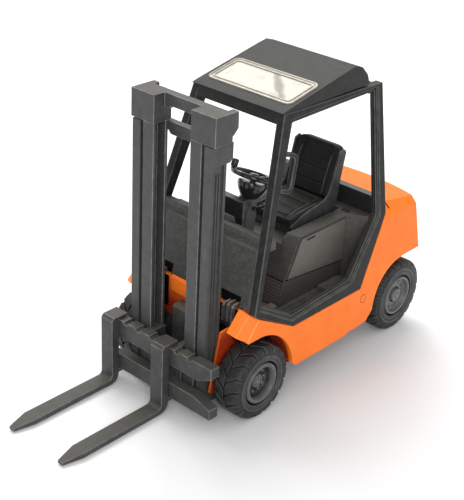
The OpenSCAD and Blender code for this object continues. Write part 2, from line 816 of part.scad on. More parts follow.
module inner_rail() color("#5a5b5f") upright(rail_foot_z, inner_top_z) {
    translate([inner_x - inner_w, -mast_front]) square([inner_w, rail_t]);
    translate([inner_x - inner_w, -rail_rear - rail_t]) square([inner_w, rail_t]);
    translate([inner_x - rail_t, -mast_front]) square([rail_t, rail_d]);
    translate([inner_x - eps, tongue_y0])
        square([outer_x - web_out - web_t - slide_gap - inner_x + eps, tongue_y1 - tongue_y0]);
}

module inner_rail_left() place() inner_rail();
module inner_rail_right() place() mirror([1, 0, 0]) inner_rail();

module inner_low_bar() place() color("#5a5b5f")
    box([-inner_x + inner_w, -rail_rear - rail_t, rail_foot_z], [inner_x - inner_w, -rail_rear, 9]);

head_x = outer_x + 0.64;
head_in_x = inner_x - inner_w;
cheek_y = -rail_rear + 2.9;
head_bar_y = -8.6;
head_back_y = -6.1;

module mast_head() place() color("#55565a") {
    both() {
        box([head_in_x, -mast_front, inner_top_z], [head_x, head_back_y, mast_top_z]);
        across(head_x - 2, head_x) polygon([
            [head_back_y - eps, mast_top_z], [cheek_y, mast_top_z], [cheek_y + 0.2, mast_top_z - 4.4],
            [cheek_y - 1.5, mast_top_z - 6], [head_back_y - eps, mast_top_z - 6]
        ]);
    }
    difference() {
        box([-head_in_x - eps, head_bar_y, mast_top_z - 3.8], [head_in_x + eps, head_back_y, mast_top_z]);
        box([-head_in_x + 2, -20, mast_top_z - 5], [head_in_x - 2, 0, mast_top_z - 3.2]);
    }
}

// ---- fork carriage ----

upper_z = [14.8, 20.2];
lower_z = [4.6, 9.4];
plate_x1 = head_in_x - slide_gap;
plate_t = 1.7;
notch_x = [7.4, 12.1];

module carriage_plate() color("#4c4d50") {
    box([plate_x1 - plate_t, -mast_front - bar_gap, lower_z[0] + 0.3],
        [plate_x1, tongue_y1, upper_z[1] - 0.2]);
    box([plate_x1 - eps, tongue_y0, 6], [inner_x - rail_t - slide_gap, tongue_y1, upper_z[1] - 0.8]);
}

module carriage_plate_left() place() carriage_plate();
module carriage_plate_right() place() mirror([1, 0, 0]) carriage_plate();

module carriage_bar(points) color("#4c4d50")
    translate([0, -mast_front - bar_gap, 0]) rotate([90, 0, 0]) linear_extrude(bar_t) polygon(points);

module carriage_upper_bar() place() difference() {
    carriage_bar([
        [-carriage_x, upper_z[0] + 2.3], [-carriage_x, upper_z[1]], [carriage_x, upper_z[1]],
        [carriage_x, upper_z[0] + 2.3], [carriage_x - 5, upper_z[0]], [-carriage_x + 5, upper_z[0]]
    ]);
    for (x = notch_x) both() box([x - 0.7, -30, upper_z[1] - 0.8], [x + 0.7, 0, upper_z[1] + 1]);
    box([-2.9, -30, upper_z[1] - 0.8], [-1.1, 0, upper_z[1] + 1]);
}

module carriage_lower_bar() place() carriage_bar([
    [-carriage_x, lower_z[0]], [-carriage_x, lower_z[1] - 1.8], [-carriage_x + 6, lower_z[1]],
    [carriage_x - 6, lower_z[1]], [carriage_x, lower_z[1] - 1.8], [carriage_x, lower_z[0]]
]);

blade_low = 0.3;
blade_top = blade_low + blade_t;
hook_z = upper_z[1] + 0.25;
hook_t = 0.85;
heel_r = 2.8;
crook_r = 1.3;
hook_low_z = lower_z[0] - 0.25;
taper_l = 6;
tip_x = 0.9;

// points of an arc about c, from angle a0 to angle a1
function arc(c, r, a0, a1, n = 8) =
    [for (i = [0:n]) c + r * [cos(a0 + (a1 - a0) * i / n), sin(a0 + (a1 - a0) * i / n)]];

module fork() color("#4c4d50") intersection() {
    across(-fork_w / 2, fork_w / 2) polygon(concat(
        [[-mast_front - bar_gap - 0.2, hook_z], [-mast_front - bar_gap - 0.2, hook_z + hook_t]],
        [[-fork_front + 0.8, hook_z + hook_t], [-fork_front, hook_z]],
        arc([-fork_front - crook_r, blade_top + crook_r], crook_r, 0, -90),
        [[tip_y + taper_l, blade_top], [tip_y, blade_low + 0.9], [tip_y, blade_low]],
        arc([-fork_back - heel_r, blade_low + heel_r], heel_r, -90, 0),
        [[-fork_back, hook_low_z - 1.1], [-fork_back + 1.9, hook_low_z - 1.1]],
        [[-fork_back + 1.9, hook_low_z]],
        [[-fork_back, hook_low_z], [-fork_back, hook_z]]
    ));
    upright(0, 40) polygon([
        [-fork_w / 2, 0], [-fork_w / 2, tip_y + taper_l], [-tip_x, tip_y],
        [tip_x, tip_y], [fork_w / 2, tip_y + taper_l], [fork_w / 2, 0]
    ]);
}

module fork_left() place() translate([left_fork_x, 0, 0]) fork();
module fork_right() place() translate([right_fork_x, 0, 0]) fork();

// ---- wheels ----

// a tyre on the X axis, from its inner to its outer face
module tyre(r, w, bore) {
    c = 1.6;
    rotate([0, 90, 0]) rotate_extrude($fn = 96) polygon([
        [bore, 0.5], [bore + 0.6, 0], [r - c, 0], [r - 0.5, c * 0.7], [r, c * 1.4],
        [r, w - c * 1.4], [r - 0.5, w - c * 0.7], [r - c, w], [bore + 0.6, w], [bore, w - 0.5]
    ]);
}

// a dished rim on the X axis with its hub and a ring of bolts
module rim(r, w, dish, hub_r, bore, bolt_ring, bolts) {
    difference() {
        union() {
            rotate([0, 90, 0]) rotate_extrude($fn = 72) polygon([
                [hub_r, 0.4], [r - 0.8, 0.4], [r, 0.7], [r, w - 0.9], [r - 0.2, w - 0.2], [r - 0.6, w - 0.2],
                [r - 0.9, w - 0.6], [r - 1.5, w - dish], [hub_r, w - dish]
            ]);
            translate([0.2, 0, 0]) rod_x(0, w - dish + 0.9, hub_r + eps);
            for (i = [0:bolts - 1]) rotate([i * 360 / bolts, 0, 0])
                translate([w - dish - eps, 0, bolt_ring]) rod_x(0, 0.5, 0.42);
        }
        rod_x(-1, w - dish + 0.5, bore);
    }
}

front_hub_r = 2.3;
rear_hub_r = 2.5;
front_in_x = front_face_x - front_w;
rear_in_x = rear_face_x - rear_w;

module front_shaft() place() color("silver")
    translate([0, 0, front_r]) rod_x(-front_face_x + 3.4, front_face_x - 3.4, shaft_r);

module front_rim() color("#6b6a68") translate([front_in_x, 0, front_r])
    rim(front_rim_r, front_w, 3, front_hub_r, shaft_r, 3.7, 10);
module front_tyre() color("#2b2b2b") translate([front_in_x, 0, front_r]) tyre(front_r, front_w, front_rim_r);

module front_rim_left() place() front_rim();
module front_rim_right() place() mirror([1, 0, 0]) front_rim();
module front_tyre_left() place() front_tyre();
module front_tyre_right() place() mirror([1, 0, 0]) front_tyre();

// ---- steered rear axle ----

yoke_h = 1.6;
yoke_y = 1.8;
knuckle_h = 4;
stub_x = rear_face_x - 2.3;
arm_pin_r = 0.7;
arm_z = rear_r - knuckle_h / 2 + 0.1;
arm_t = 1.3;
rod_z = arm_z + arm_t + slide_gap;
rod_t = 1.2;

module rear_axle_beam() place() color("#33322f") {
    yoke = knuckle_h / 2 + slide_gap;
    box([-4.4, wheelbase - 3, rear_r - 2], [4.4, wheelbase + 2.4, deck_low_z]);
    box([-kingpin_x + 2.6, wheelbase - yoke_y, rear_r - 2],
        [kingpin_x - 2.6, wheelbase + yoke_y, rear_r + 2]);
    both() for (z = [rear_r - yoke - yoke_h, rear_r + yoke]) {
        box([4, wheelbase - yoke_y, z], [kingpin_x, wheelbase + yoke_y, z + yoke_h]);
        translate([kingpin_x, wheelbase, z]) cylinder(h = yoke_h, r = yoke_y);
    }
    both() box([5, wheelbase - yoke_y, rear_r - yoke - yoke_h],
        [kingpin_x - 2.7, wheelbase + yoke_y, rear_r + yoke + yoke_h]);
    both() translate([kingpin_x, wheelbase, rear_r - yoke - yoke_h])
        cylinder(h = 2 * (yoke + yoke_h), r = kingpin_r);
}

module knuckle() color("#3a3937") difference() {
    union() {
        translate([kingpin_x, wheelbase, rear_r - knuckle_h / 2]) cylinder(h = knuckle_h, r = 2.2);
        translate([0, wheelbase, rear_r]) rod_x(kingpin_x + 1, rear_in_x + 0.1, 1.9);
        translate([0, wheelbase, rear_r]) rod_x(kingpin_x + 1, stub_x, shaft_r);
        box([kingpin_x - 1.2, wheelbase, arm_z], [kingpin_x + 1.2, wheelbase + steer_arm, arm_z + arm_t]);
        translate([kingpin_x, wheelbase + steer_arm, arm_z]) cylinder(h = arm_t, r = 1.2);
        translate([kingpin_x, wheelbase + steer_arm, arm_z]) cylinder(h = 3.3, r = arm_pin_r);
    }
    translate([kingpin_x, wheelbase, 0]) cylinder(h = 40, r = kingpin_r + run_gap);
}

module knuckle_left() place() knuckle();
module knuckle_right() place() mirror([1, 0, 0]) knuckle();

slot_back = 0.7;
module tie_rod() place() color("#3a3937") difference() {
    union() {
        box([-kingpin_x, wheelbase + steer_arm - 1, rod_z],
            [kingpin_x, wheelbase + steer_arm + 1, rod_z + rod_t]);
        both() translate([kingpin_x, wheelbase + steer_arm, rod_z]) cylinder(h = rod_t, r = 2.2);
    }
    both() box([kingpin_x - arm_pin_r - 0.2, wheelbase + steer_arm - slot_back - 0.9, 0],
        [kingpin_x + arm_pin_r + 0.2, wheelbase + steer_arm + 0.9, 40]);
}

module rear_rim() color("#6b6a68") translate([rear_in_x, 0, 0]) translate([0, wheelbase, rear_r])
    rim(rear_rim_r, rear_w, 1.9, rear_hub_r, shaft_r + run_gap, 4.1, 8);
module rear_tyre() color("#2b2b2b") translate([rear_in_x, wheelbase, rear_r])
    tyre(rear_r, rear_w, rear_rim_r);

module rear_rim_left() place() rear_rim();
module rear_rim_right() place() mirror([1, 0, 0]) rear_rim();
module rear_tyre_left() place() rear_tyre();
module rear_tyre_right() place() mirror([1, 0, 0]) rear_tyre();

body_casting();
base_plate();
base_screws();
side_pins();
axle_housing();
hoses_left();
hoses_right();
cab_side_left();
cab_side_right();
roof();
roof_window();
rear_bar();
cowl();
dash_shelf();
floor_pan();
step_left();
step_right();
engine_hood();
hood_panel_left();
hood_panel_right();
rear_panel();
seat_base();
seat_shell();
seat_cushion();
seat_back();
steering_column();
lever_console();
levers();
pedals();
grab_handle();
mast_pin();
rear_axle_beam();
outer_rail_left();
outer_rail_right();
outer_top_bar();
outer_low_bar();
inner_rail_left();
inner_rail_right();
inner_low_bar();
mast_head();
carriage_plate_left();
carriage_plate_right();
carriage_upper_bar();
carriage_lower_bar();
fork_left();
fork_right();
front_shaft();
front_rim_left();
front_rim_right();
front_tyre_left();
front_tyre_right();
knuckle_left();
knuckle_right();
tie_rod();
rear_rim_left();
rear_rim_right();
rear_tyre_left();
rear_tyre_right();
steering_wheel();
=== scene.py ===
"""Builds the finished look of a 1:25 toy forklift around its fixed frame.

Each group of pieces is made by one operator of the panel "Toy forklift" in the 3D view's sidebar.
Lengths in this file are millimetres in the model's own layout: X to the truck's left, Y to its rear
from the front axle, Z up from the ground. The function at() turns them into the frame's metres.
"""

import math

import bmesh
import bpy
from bpy.props import FloatProperty, FloatVectorProperty, IntProperty, PointerProperty
from mathutils import Matrix, Vector


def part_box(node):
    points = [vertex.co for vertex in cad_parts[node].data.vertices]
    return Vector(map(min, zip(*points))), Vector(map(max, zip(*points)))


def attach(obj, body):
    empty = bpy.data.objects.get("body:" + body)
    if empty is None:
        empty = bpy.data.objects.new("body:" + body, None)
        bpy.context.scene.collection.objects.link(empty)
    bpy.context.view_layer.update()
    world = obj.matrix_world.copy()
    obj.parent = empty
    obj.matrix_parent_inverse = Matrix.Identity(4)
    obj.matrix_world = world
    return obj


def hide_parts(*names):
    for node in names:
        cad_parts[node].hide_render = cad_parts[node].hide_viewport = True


bl_info = {
    "name": "Toy forklift",
    "version": (1, 0, 0),
    "blender": (4, 5, 0),
    "location": "View3D > Sidebar > Forklift",
    "description": "Moulded, painted and worn pieces of a die-cast toy forklift",
    "category": "Object",
}

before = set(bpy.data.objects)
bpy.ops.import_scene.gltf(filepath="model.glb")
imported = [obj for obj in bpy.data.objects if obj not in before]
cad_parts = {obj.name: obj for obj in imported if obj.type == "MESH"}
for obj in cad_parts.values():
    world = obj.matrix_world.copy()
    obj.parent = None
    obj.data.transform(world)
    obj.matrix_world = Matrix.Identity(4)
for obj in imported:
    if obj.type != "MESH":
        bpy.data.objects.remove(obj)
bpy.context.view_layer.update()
MM = 0.001
AXLE_LOW, AXLE_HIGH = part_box("front_shaft")
AXLE_Y = (AXLE_LOW.y + AXLE_HIGH.y) / 2
TRUCK = "truck"


# ---- sizes shared with the frame, in millimetres ----

WHEELBASE = 65.0
BODY_W, SIDE_LEAN, SIDE_REF_Z = 49.0, 0.1207, 11.5
MAST_FRONT = 12.3
FLOOR_Z, HOOD_X = 22.6, 13.5
SEAT_X, CUSHION_REAR, CUSHION_L = 8.1, 43.6, 16.5
CUSHION_Z, CUSHION_H, CUSHION_RISE = 42.2, 2.4, 1.1
BACK_FOOT, BACK_H, BACK_T, BACK_LEAN = (43.4, 46.0), 15.4, 3.1, 15.0
WHEEL_Y, WHEEL_Z, WHEEL_R, WHEEL_TILT = 20.0, 57.4, 6.9, 22.0
CAB_FRONT_Y, CAB_TOP_Z = 11.4, 81.9
CAB_REAR_Y, PILLAR_FOOT_Y, RING_LOW_Z, COWL_LOW_Z = 52.9, 54.9, 23.0, 31.2
PANE_LOW, PANE_L, PANE_X = 2.6, 11.7, 14.0
HOSE_X, HOSE_Y, CLIP_Z = (12.1, 13.7, 15.3), -3.6, (26.0, 27.4)
RIDGE_Y, RIDGE_Z = CAB_FRONT_Y + 28.7, CAB_TOP_Z + 6.5
SEAM_Z, BLOCK_TOP_Z, PIN_Y, PIN_Z = 30.3, 44.2, 43.9, 19.5

# Profiles are (outward from the wheel's outer face, radius). Bolts are (radius of their ring,
# their own radius, how many, and from where to where outward).
WHEELS = {
    "front": {
        "radius": 10.8, "width": 8.7, "face_x": 24.1, "rim_r": 6.4, "y": 0.0,
        "lip": [
            (-1.6, 5.95), (-0.6, 5.95), (-0.2, 5.85), (0.0, 5.6), (0.04, 5.3), (-0.06, 5.0),
            (-0.35, 4.72), (-1.1, 4.55), (-1.6, 4.5),
        ],
        "dish": [
            (-1.1, 4.6), (-2.3, 4.35), (-2.75, 4.1), (-2.85, 3.8), (-2.85, 2.3), (-2.2, 2.15),
            (-2.1, 1.9), (-2.1, 0.02),
        ],
        "hub": [
            (-2.2, 0.02), (-2.2, 1.9), (-1.75, 1.85), (-1.6, 1.6), (-1.6, 0.85), (-1.25, 0.8),
            (-1.1, 0.6), (-1.1, 0.02),
        ],
        "bolts": (3.25, 0.42, 10, -2.9, -2.25),
        "hub_bolts": (1.25, 0.3, 6, -1.65, -1.2),
    },
    "rear": {
        "radius": 11.5, "width": 7.4, "face_x": 22.0, "rim_r": 6.7, "y": WHEELBASE,
        "lip": [
            (-1.4, 6.25), (-0.6, 6.25), (-0.3, 6.15), (-0.15, 5.95), (-0.15, 5.6), (-0.4, 5.35),
            (-1.1, 5.1), (-1.5, 4.9), (-1.55, 3.4), (-1.4, 3.1), (-1.4, 2.6), (-1.9, 2.5),
            (-1.9, 4.9),
        ],
        "dish": [(-1.1, 5.3), (-2.0, 5.1), (-2.0, 0.02)],
        "hub": [
            (-2.1, 0.02), (-2.1, 2.15), (-0.8, 2.1), (-0.5, 1.85), (-0.5, 1.3), (-0.75, 1.2),
            (-0.75, 0.95), (-0.35, 0.85), (-0.3, 0.02),
        ],
        "bolts": (4.15, 0.4, 8, -1.6, -1.05),
        "hub_bolts": (1.58, 0.16, 6, -0.6, -0.38),
    },
}


# ---- sizes of details that are only in the looks ----

# One half of a tread block, from the tyre's middle to its shoulder: share of the way out, drop of
# the top, share of the slant, and share of the full length.
LUG_STATIONS = (
    (0.07, 0.0, 0.0, 0.9), (0.45, 0.0, 0.5, 1.0), (0.86, 0.04, 1.0, 1.0),
    (1.04, 0.24, 1.05, 0.98), (1.17, 0.72, 1.05, 0.93), (1.22, 1.1, 1.05, 0.85),
)
SMEAR_AT, SMEAR_W = 14.7, 5.0
PAD_COLUMNS, PAD_ROWS = 76, 100
PIPING_UP = (0.8, 2.6, 5.0, 7.4, 9.4, 11.4)
MAST_LOOK = ("mast", "mast_edge")
SIDES = {"left": 1, "right": -1}


def at(x, y, z):
    """A point of the model's own layout as a point of the frame, in metres."""
    return Vector((x * MM, AXLE_Y + y * MM, z * MM))


def side_x(z):
    """Half width of the body at a height."""
    return BODY_W / 2 - SIDE_LEAN * (z - SIDE_REF_Z)


# ---- settings a user may change ----


def colour(name, description, default):
    return FloatVectorProperty(
        name=name, description=description, subtype="COLOR", size=3, min=0, max=1, default=default
    )


class ForkliftColours(bpy.types.PropertyGroup):
    """Colours of the finishes."""

    body: colour("Body paint", "Gloss enamel of the body casting", (1.0, 0.205, 0.018))
    # Painted shade: the darker paint colour given to low faces inside the arches and the body.
    body_deep: colour(
        "Shaded paint", "Paint colour inside the arches and the body", (0.33, 0.030, 0.007),
    )
    cab: colour("Cab plastic", "Moulded grey of the cab frame and roof", (0.016, 0.0165, 0.016))
    cowl: colour("Cowl plastic", "Grained grey of the cowl and floor", (0.042, 0.041, 0.037))
    hood: colour("Hood plastic", "Dark grey of the engine hood", (0.052, 0.050, 0.043))
    mast: colour("Mast paint", "Grey paint of the mast rails", (0.047, 0.048, 0.049))
    forks: colour("Fork paint", "Grey paint of the forks and carriage", (0.038, 0.039, 0.038))
    tyre: colour("Tyre rubber", "Soft black plastic of the tyres", (0.0095, 0.0099, 0.0107))
    rim: colour("Rim plastic", "Grey plastic of the wheel rims", (0.085, 0.088, 0.094))
    seat: colour("Seat", "Black of the seat mouldings", (0.0045, 0.0052, 0.006))
    dust: colour("Dust", "Colour of the dust on upward faces", (0.125, 0.113, 0.088))
    # The pale window colour is a painted reflection of the pane.
    window: colour("Roof window", "Clear plastic of the roof window", (0.565, 0.525, 0.44))


class ForkliftSizes(bpy.types.PropertyGroup):
    """Sizes of the surface details."""

    tread_depth: FloatProperty(
        name="Tread depth", description="Depth of the tyre tread", default=0.62 * MM, unit="LENGTH"
    )
    front_lugs: IntProperty(
        name="Front lugs", description="Tread blocks in each row of a front tyre",
        default=17, min=8, max=40,
    )
    rear_lugs: IntProperty(
        name="Rear lugs", description="Tread blocks in each row of a rear tyre",
        default=20, min=8, max=40,
    )
    back_pleats: IntProperty(
        name="Back seams", description="Seams across the lower seat back", default=2, min=1, max=3
    )
    cushion_pleats: IntProperty(
        name="Cushion seams", description="Panels of the seat cushion", default=3, min=2, max=8
    )


def colours():
    return bpy.context.scene.forklift_colours


def sizes():
    return bpy.context.scene.forklift_sizes


# ---- shader node groups used by several finishes ----


class Nodes:
    """A small helper that adds nodes to a tree and joins their sockets."""

    def __init__(self, tree):
        self.tree = tree
        self.column = 0

    def add(self, kind, **inputs):
        node = self.tree.nodes.new(kind)
        node.location = (self.column * 180, -60 * (self.column % 5))
        self.column += 1
        for name, value in inputs.items():
            self.put(node, name.replace("_", " "), value)
        return node

    def put(self, node, key, value):
        """Gives an input, by its name or number, a value or a link."""
        socket = node.inputs[key]
        if isinstance(value, bpy.types.NodeSocket):
            self.tree.links.new(value, socket)
        else:
            socket.default_value = value

    def place(self, kind="Object"):
        """Where a spot lies, or with "Normal" which way it faces, in the piece's own axes."""
        return self.add("ShaderNodeTexCoord").outputs[kind]

    def split(self, vector):
        return self.add("ShaderNodeSeparateXYZ", Vector=vector).outputs

    def math(self, operation, a, b=None, c=None, clamp=False):
        node = self.add("ShaderNodeMath")
        node.operation = operation
        node.use_clamp = clamp
        for i, value in enumerate((a, b, c)):
            if value is not None:
                self.put(node, i, value)
        return node.outputs[0]

    def ramp(self, value, low, high):
        """value from low to high becomes 0 to 1."""
        node = self.add("ShaderNodeMapRange", Value=value, From_Min=low, From_Max=high)
        node.interpolation_type = "SMOOTHSTEP"
        return node.outputs[0]

    def mix(self, factor, a, b):
        node = self.add("ShaderNodeMix")
        node.data_type = "RGBA"
        self.put(node, 0, factor)
        for i, value in ((6, a), (7, b)):
            is_link = isinstance(value, bpy.types.NodeSocket)
            self.put(node, i, value if is_link else (*value, 1))
        return node.outputs[2]

    def noise(self, vector, scale, detail=3.0, rough=0.55):
        return self.add(
            "ShaderNodeTexNoise", Vector=vector, Scale=scale, Detail=detail, Roughness=rough
        ).outputs["Fac"]

    def bump(self, height, strength, distance):
        return self.add(
            "ShaderNodeBump", Strength=strength, Distance=distance * MM, Height=height
        ).outputs[0]


def new_group(name, inputs, outputs):
    """An empty shader group: its helper, its input sockets by name, and its output node."""
    group = bpy.data.node_groups.new(name, "ShaderNodeTree")
    for socket, default in inputs.items():
        made = group.interface.new_socket(
            name=socket, in_out="INPUT", socket_type="NodeSocketFloat"
        )
        made.default_value = default
    for socket in outputs:
        group.interface.new_socket(name=socket, in_out="OUTPUT", socket_type="NodeSocketFloat")
    n = Nodes(group)
    return n, n.add("NodeGroupInput").outputs, n.add("NodeGroupOutput")


def make_settled_dust():
    """Dust that lies on faces that look up, in patches."""
    n, given, out = new_group("settled_dust", {"Amount": 0.5, "Patch Scale": 260.0}, ["Mask"])
    upward = n.ramp(n.split(n.place("Normal"))["Z"], 0.35, 0.95)
    patches = n.ramp(n.noise(n.place(), given["Patch Scale"], 4.0, 0.65), 0.28, 0.72)
    mask = n.math("MULTIPLY", upward, n.math("MULTIPLY_ADD", patches, 0.55, 0.45))
    n.put(out, "Mask", n.math("MULTIPLY", mask, given["Amount"], clamp=True))
    return n.tree


def make_rubbed_patches():
    """Uneven rubbing of a moulded or painted edge."""
    n, given, out = new_group("rubbed_patches", {"Amount": 0.5, "Patch Scale": 400.0}, ["Mask"])
    patches = n.ramp(n.noise(n.place(), given["Patch Scale"], 5.0, 0.7), 0.3, 0.7)
    n.put(out, "Mask", n.math("MULTIPLY", patches, given["Amount"], clamp=True))
    return n.tree


def make_moulded_grain():
    """Fine leathery grain of injection-moulded plastic, with a slow unevenness under it."""
    n, given, out = new_group(
        "moulded_grain", {"Grain Scale": 1500.0, "Speckle": 0.5}, ["Height", "Tone"]
    )
    place = n.place()
    cells = n.add("ShaderNodeTexVoronoi", Vector=place, Scale=given["Grain Scale"])
    cells.feature = "SMOOTH_F1"
    slow = n.noise(place, 220.0)
    fine = n.noise(place, 2600.0, 2.0, 0.6)
    height = n.math("MULTIPLY_ADD", fine, 0.5, cells.outputs["Distance"])
    n.put(out, "Height", n.math("MULTIPLY_ADD", slow, 0.8, height))
    speckles = n.ramp(n.noise(place, 1100.0, 3.0, 0.75), 0.42, 0.74)
    tone = n.math("MULTIPLY_ADD", speckles, given["Speckle"], 0.86)
    n.put(out, "Tone", n.math("MULTIPLY_ADD", slow, 0.28, tone))
    return n.tree


def make_fine_scratches():
    """Long thin scratches and streaks that run up and down a piece."""
    n, given, out = new_group("fine_scratches", {"Scratch Scale": 900.0}, ["Height", "Mask"])
    stretch = n.add("ShaderNodeMapping", Vector=n.place(), Scale=(1.0, 1.0, 0.06))
    streaks = n.noise(stretch.outputs[0], given["Scratch Scale"], 4.0, 0.7)
    n.put(out, "Height", streaks)
    n.put(out, "Mask", n.ramp(streaks, 0.6, 0.74))
    return n.tree


def make_inside_shade():
    """Painted shade: low faces inside the body's sides that don't look up, darkened for the shade
    that falls there.
    """
    n, given, out = new_group("inside_shade", {"Edge": 0.0006}, ["Mask"])
    place = n.split(n.place())
    skin = 1.0
    wall = (BODY_W / 2 + SIDE_LEAN * SIDE_REF_Z - skin) * MM
    half_width = n.math("MULTIPLY_ADD", place["Z"], -SIDE_LEAN, wall)
    depth = n.math("SUBTRACT", half_width, n.math("ABSOLUTE", place["X"]))
    inner = n.math("DIVIDE", depth, given["Edge"], clamp=True)
    not_up = n.ramp(n.split(n.place("Normal"))["Z"], 0.3, 0.1)
    low = n.ramp(place["Z"], 30.5 * MM, 22.5 * MM)
    n.put(out, "Mask", n.math("MULTIPLY", n.math("MULTIPLY", inner, not_up), low))
    return n.tree


GROUPS = {}


def make_groups():
    GROUPS.update(
        dust=make_settled_dust(),
        rub=make_rubbed_patches(),
        grain=make_moulded_grain(),
        scratch=make_fine_scratches(),
        inside=make_inside_shade(),
    )


def use_group(n, name, **values):
    """Outputs of a shared group, with values for its inputs."""
    node = n.add("ShaderNodeGroup")
    node.node_tree = GROUPS[name]
    for socket, value in values.items():
        n.put(node, socket.replace("_", " "), value)
    return node.outputs


# ---- finishes ----


def new_material(name):
    """A material with a helper for its nodes, and its surface node."""
    made = bpy.data.materials.new(name)
    made.use_nodes = True
    return made, Nodes(made.node_tree), made.node_tree.nodes["Principled BSDF"]


def finish(
    name,
    base,
    rough=0.5,
    *,
    worn=None,
    wear=0.0,
    dust=0.3,
    dust_patch=260.0,
    dust_colour=None,
    grain=1500.0,
    grain_depth=0.02,
    speckle=0.2,
    scratch=0.0,
    metal=0.0,
    coat=0.0,
    coat_rough=0.1,
    level=0.5,
    shade=None,
):
    """A moulded or painted finish: base colour with tone, rubbing, dust, grain and scratches.

    worn is the colour of rubbed spots, and shade the colour of the painted shade on faces inside
    the body.
    """
    made, n, surface = new_material(name)
    base = tuple(base)
    made.diffuse_color = (*base, 1)
    texture = use_group(n, "grain", Grain_Scale=grain, Speckle=speckle)
    toned = n.add("ShaderNodeVectorMath")
    toned.operation = "SCALE"
    n.put(toned, "Scale", texture["Tone"])
    # Painted shade: faces inside the body take the shade colour in place of the base colour.
    n.put(toned, 0, n.mix(use_group(n, "inside")["Mask"], base, shade) if shade else base)
    colour_now = toned.outputs[0]
    roughness = n.math("MULTIPLY_ADD", texture["Tone"], 0.08, rough - 0.08)
    if wear > 0:
        rubbed = use_group(n, "rub", Amount=wear)["Mask"]
        colour_now = n.mix(rubbed, colour_now, worn)
        roughness = n.math("MULTIPLY_ADD", rubbed, -0.1, roughness, clamp=True)
    height = texture["Height"]
    if scratch > 0:
        lines = use_group(n, "scratch")
        scratched = tuple(min(1.0, c * 1.9 + 0.03) for c in base)
        colour_now = n.mix(n.math("MULTIPLY", lines["Mask"], scratch), colour_now, scratched)
        height = n.math("MULTIPLY_ADD", lines["Height"], scratch, height)
    if dust > 0:
        settled = use_group(n, "dust", Amount=dust, Patch_Scale=dust_patch)["Mask"]
        colour_now = n.mix(settled, colour_now, dust_colour or colours().dust)
        roughness = n.math("MULTIPLY_ADD", settled, 0.45, roughness, clamp=True)
    n.put(surface, "Base Color", colour_now)
    n.put(surface, "Roughness", roughness)
    n.put(surface, "Normal", n.bump(height, 0.35, grain_depth))
    surface.inputs["Metallic"].default_value = metal
    surface.inputs["Specular IOR Level"].default_value = level
    surface.inputs["Coat Weight"].default_value = coat
    surface.inputs["Coat Roughness"].default_value = coat_rough
    return made


def clear_plastic(name, tint):
    """Clear sheet plastic of the roof window, with a pale tint that paints its reflection, and
    smudges and one smear that dull it.
    """
    made, n, surface = new_material(name)
    tint = tuple(tint)
    place = n.place()
    cloudy = n.noise(place, 130.0, 5.0, 0.6)
    spot = n.split(place)
    across = n.math("ADD", spot["X"], spot["Y"])
    off_line = n.math("ABSOLUTE", n.math("SUBTRACT", across, SMEAR_AT * MM))
    ragged = n.math("MULTIPLY_ADD", cloudy, SMEAR_W * MM, off_line)
    smear = n.ramp(ragged, 0.95 * SMEAR_W * MM, 0.55 * SMEAR_W * MM)
    smudge = n.math("MAXIMUM", n.math("MULTIPLY", n.ramp(cloudy, 0.45, 0.75), 0.55), smear)
    # Painted reflection: the pale tint stands for the pane's reflection.
    n.put(surface, "Base Color", n.mix(smudge, tint, tuple(c * 0.42 for c in tint)))
    n.put(surface, "Roughness", n.math("MULTIPLY_ADD", smudge, 0.25, 0.1))
    n.put(surface, "Normal", n.bump(n.noise(place, 300.0, 2.0), 0.2, 0.05))
    surface.inputs["Transmission Weight"].default_value = 0.12
    surface.inputs["IOR"].default_value = 1.49
    surface.inputs["Specular IOR Level"].default_value = 0.25
    surface.inputs["Coat Weight"].default_value = 0.1
    surface.inputs["Coat Roughness"].default_value = 0.04
    return made


FINISH = {}


